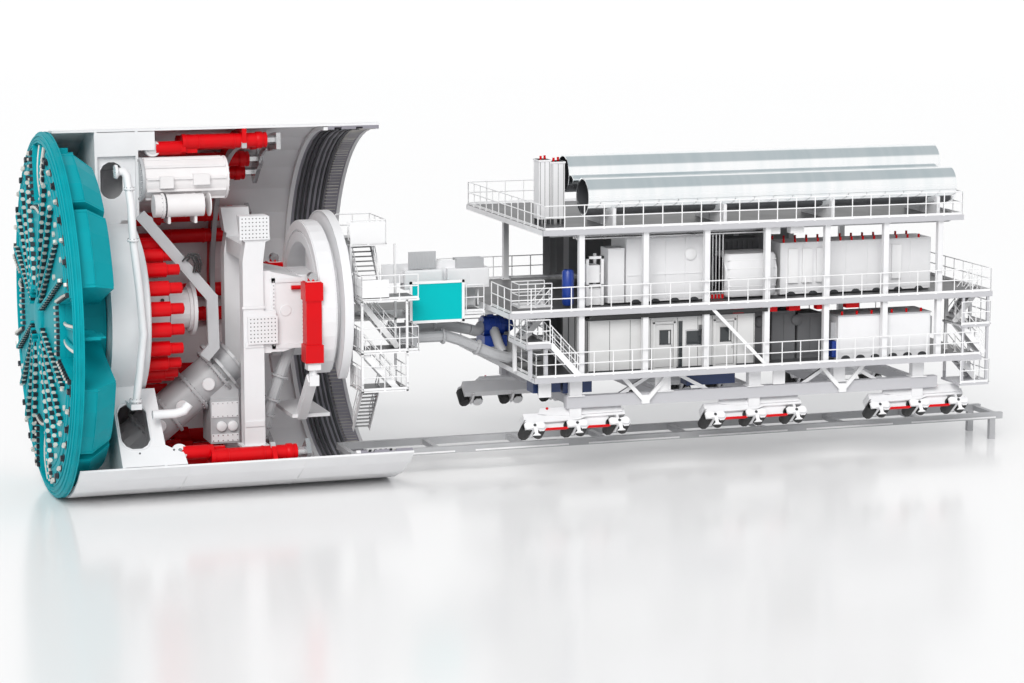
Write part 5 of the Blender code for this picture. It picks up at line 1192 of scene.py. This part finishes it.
power = [block(10.44, 11.10, -2.36, -1.90, 2.12, 2.40), block(11.16, 11.86, -2.36, -1.90, 2.08, 2.44),
         block(14.2, 15.4, -2.36, -1.95, 2.10, 2.44)]
fitted("power_packs", power, painted("dark blue coat", (0.010, 0.030, 0.11), 0.35, 0.2))

# ------------------------------------------------------------------ mid-deck cabinets and tank
# The mid deck carries the electrical cabinets, a ribbed air tank and a pump skid. The cabinets are white folded
# steel with round instrument covers, vent boxes, lamps along the top and fork pockets in the base.
coated(white, "middle_cabinets")
faces, pockets, covers = [], [], []
faces += cabinet_front(12.74, 14.66, -2.20, 4.05, 5.58, 4)
faces += cabinet_front(16.62, 20.50, -2.10, 4.05, 5.30, 7)
faces += cabinet_front(12.30, 12.70, -2.20, 4.05, 5.35, 1)
for k in range(3):
    faces.append(block(12.76 + 0.64 * k, 13.34 + 0.64 * k, -2.226, -2.212, 4.70, 4.72))
fitted("mid_cabinet_doors", faces, white)
# the fork pockets are dark plates: painted shade in the openings
pockets += [pocket(s, -2.10, 4.075) for s in (16.9, 17.46, 18.0, 18.56, 19.1, 19.66, 20.2)]
pockets += [pocket(s, -2.20, 4.075) for s in (12.98, 13.46, 13.94, 14.42)]
fitted("mid_cabinet_pocket_shade", pockets, dark)
for s, z, r in ((13.22, 5.15, 0.07), (14.32, 5.15, 0.14)):
    covers.append(barrel((s, -2.212, z), (s, -2.262, z), [(0, r), (0.6, r), (1, r * 0.8)], 24))
for s in (12.94, 13.22):
    covers.append(barrel((s, -1.9, 5.58), (s, -1.9, 5.80), [(0, 0.075), (0.9, 0.075), (1, 0.05)], 18))
fitted("instrument_covers", covers, rail_white)
vents = []
for s in (16.80, 17.16, 17.52, 19.46):
    vents.append(block(s, s + 0.24, -2.175, -2.112, 4.36, 5.16))
fitted("vent_boxes", vents, rail_white)
lamp_row("mid_cabinet_lamps", [(16.72 + 0.29 * k, y, 5.30) for k in range(13) for y in (-2.05, -1.38)] +
         [(12.84 + 0.29 * k, -1.28, 5.58) for k in range(6)])
ribs = []
for z in (4.34, 4.55, 4.76, 4.96):
    ribs.append(tube([(15.24, -2.232, z), (16.46, -2.232, z)], 0.012, 8))
corner = [(0.00, 0.14), (0.05, 0.05), (0.14, 0.0), (1.16, 0.0), (1.25, 0.05), (1.30, 0.14), (1.30, 0.74),
          (1.25, 0.83), (1.16, 0.88), (0.14, 0.88), (0.05, 0.83), (0.00, 0.74)]
fitted("tank_shell", [between([[(15.85 + (x - 0.65) * k, -2.24 + 0.44 + (y - 0.44) * k, z) for x, y in corner]
                               for z, k in ((4.10, 0.94), (4.16, 1.0), (5.02, 1.0), (5.10, 0.93))])], white)
fitted("tank_ribs", ribs, rail_white, round_off=60)
unit = [block(11.74, 11.80, -2.30, -2.24, 4.07, 5.20), block(12.10, 12.16, -2.30, -2.24, 4.07, 5.20),
        block(11.74, 12.16, -2.30, -2.24, 5.14, 5.20),
        block(11.74, 12.16, -2.30, -2.24, 4.50, 4.55), block(11.74, 11.80, -1.80, -1.74, 4.07, 5.20),
        block(12.10, 12.16, -1.80, -1.74, 4.07, 5.20),
        block(11.78, 12.12, -2.22, -1.82, 4.07, 4.46), block(11.80, 12.10, -2.20, -1.84, 4.58, 4.98)]
fitted("pump_skid", unit, rail_white)
fitted("skid_drum", [barrel((11.30, -2.28, 4.10), (11.30, -2.28, 4.92),
                            [(0, 0.10), (0.06, 0.135), (0.94, 0.135), (1, 0.10)], 22)], blue)
pipes = []
for k, (y, z) in enumerate(((-2.30, 5.62), (-2.20, 5.66), (-2.08, 5.62))):
    pipes.append(tube([(11.50, y, z), (16.3 - 0.4 * k, y, z)], 0.032, 10))
for k in range(5):
    s = 14.82 + 0.085 * k
    pipes.append(tube([(s, -2.12, 4.07), (s, -2.12, 5.60)], 0.018, 8))
fitted("roof_pipes", pipes, bare)
ends = [barrel((14.82 + 0.085 * k, -2.12, 4.07), (14.82 + 0.085 * k, -2.12, 4.17), [(0, 0.028), (1, 0.028)], 10)
        for k in range(5)]
fitted("pipe_ends", ends, red)
box = [block(15.05, 16.45, -1.20, -0.72, 4.07, 5.34)]
for k in range(10):
    box.append(block(15.12 + 0.13 * k, 15.17 + 0.13 * k, -1.225, -1.20, 4.14, 5.28))
fitted("service_container", box, panel_grey)
boxes = [block(s, s + 0.34, -2.72, -2.50, 5.60, 5.76) for s in (16.0, 16.6)]
fitted("roof_boxes", boxes, rail_white)

# ------------------------------------------------------------------ roof tanks
# Two tall water tanks stand at the front of the roof. They are white folded steel on dark feet, with dark joints
# down the near side and signal lamps on their lids.
boxes, feet, joints = [], [], []
for s0, s1, z in ((10.80, 11.08, 7.38), (11.10, 11.42, 7.33)):
    boxes.append(block(s0, s1, -1.70, -1.32, 6.02, z))
    boxes.append(block(s0 - 0.015, s1 + 0.015, -1.715, -1.305, z - 0.04, z))
    feet += [block(s, s + 0.05, y, y + 0.05, 5.90, 6.03) for s in (s0 + 0.01, s1 - 0.06) for y in (-1.69, -1.38)]
    joints += [block(s - 0.004, s + 0.004, -1.704, -1.70, 6.04, z - 0.05)
               for s in (s0 + 0.03, (s0 + s1) / 2, s1 - 0.03)]
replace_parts(fitted("tank_boxes", boxes, white, "machine"), "roof_tanks")
fitted("tank_feet", feet + joints, dark)
lamp_row("tank_lamps", [(10.87, -1.6, 7.38), (11.00, -1.5, 7.38), (11.18, -1.6, 7.33), (11.34, -1.45, 7.33)])

# ------------------------------------------------------------------ air ducts
# Two smooth ventilation ducts of bare sheet steel run the length of the roof on white saddles. They are open at
# both ends, and a dark sheet inside them is painted shade for their dark insides.
duct_steel = bpy.data.materials.new("polished duct")
duct_steel.use_nodes = True
tree = duct_steel.node_tree
sheet = tree.nodes["Principled BSDF"]
sheet.inputs["Metallic"].default_value = 1.0
place, drawn, tones = (tree.nodes.new(kind)
                       for kind in ("ShaderNodeTexCoord", "ShaderNodeMapping", "ShaderNodeValToRGB"))
worn, gloss = tree.nodes.new("ShaderNodeTexNoise"), tree.nodes.new("ShaderNodeMapRange")
drawn.inputs["Scale"].default_value = (2.2, 0.15, 0.15)
worn.inputs["Scale"].default_value, worn.inputs["Detail"].default_value = 1.6, 5.0
tree.links.new(place.outputs["Object"], drawn.inputs["Vector"])
tree.links.new(drawn.outputs["Vector"], worn.inputs["Vector"])
tones.color_ramp.elements[0].position, tones.color_ramp.elements[0].color = 0.36, (0.90, 0.93, 0.94, 1)
tones.color_ramp.elements[1].position, tones.color_ramp.elements[1].color = 0.62, (0.97, 0.98, 0.985, 1)
tree.links.new(worn.outputs["Fac"], tones.inputs["Fac"])
tree.links.new(tones.outputs["Color"], sheet.inputs["Base Color"])
gloss.inputs["To Min"].default_value, gloss.inputs["To Max"].default_value = 0.07, 0.13
tree.links.new(worn.outputs["Fac"], gloss.inputs["Value"])
tree.links.new(gloss.outputs[0], sheet.inputs["Roughness"])
DUCTS = ((-2.35, 6.58), (-1.46, 7.03))


def duct_ring(s0, s1, y, z, r0, r1, n=72):
    """A ring about a duct's axis."""
    points, faces = hoop(s0, s1, r0, r1, n=n)
    return [(s, v + y, w + z - AXIS_Z) for s, v, w in points], faces


tubes, painted_shade_liners, saddles = [], [], []
for y, z in DUCTS:
    front = 11.62 if y < -2 else 11.46
    tubes.append(duct_ring(front, 20.80, y, z, 0.400, 0.430))
    painted_shade_liners.append(duct_ring(front + 0.02, 20.78, y, z, 0.392, 0.401))
    for s in (12.2, 14.9, 17.6, 20.3):
        saddles += [block(s, s + 0.08, y - 0.42, y - 0.26, 5.90, z - 0.24),
                    block(s, s + 0.08, y + 0.26, y + 0.42, 5.90, z - 0.24),
                    block(s, s + 0.08, y - 0.26, y + 0.26, 5.90, z - 0.405)]
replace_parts(fitted("duct_tubes", tubes, duct_steel, "machine", 50), "air_ducts")
# a dark sheet inside each duct: painted shade inside the open ducts
fitted("duct_painted_shade_liners", painted_shade_liners, dark, round_off=50)
fitted("duct_saddles", saddles, white)

# ------------------------------------------------------------------ feeder
# A pair of long rails on cross beams lies under the gantry. It is grey box steel with white joint plates along its
# sides.
coated(grey, "segment_feeder")
plates = []
for s0 in (6.8, 9.6, 12.4, 15.2, 18.0, 20.8):
    for y in (-0.66, 0.66):
        plates.append(block(s0, s0 + 2.3, y - 0.010 if y < 0 else y, y if y < 0 else y + 0.010, 0.53, 0.57))
fitted("feeder_side_plates", plates, rail_white)
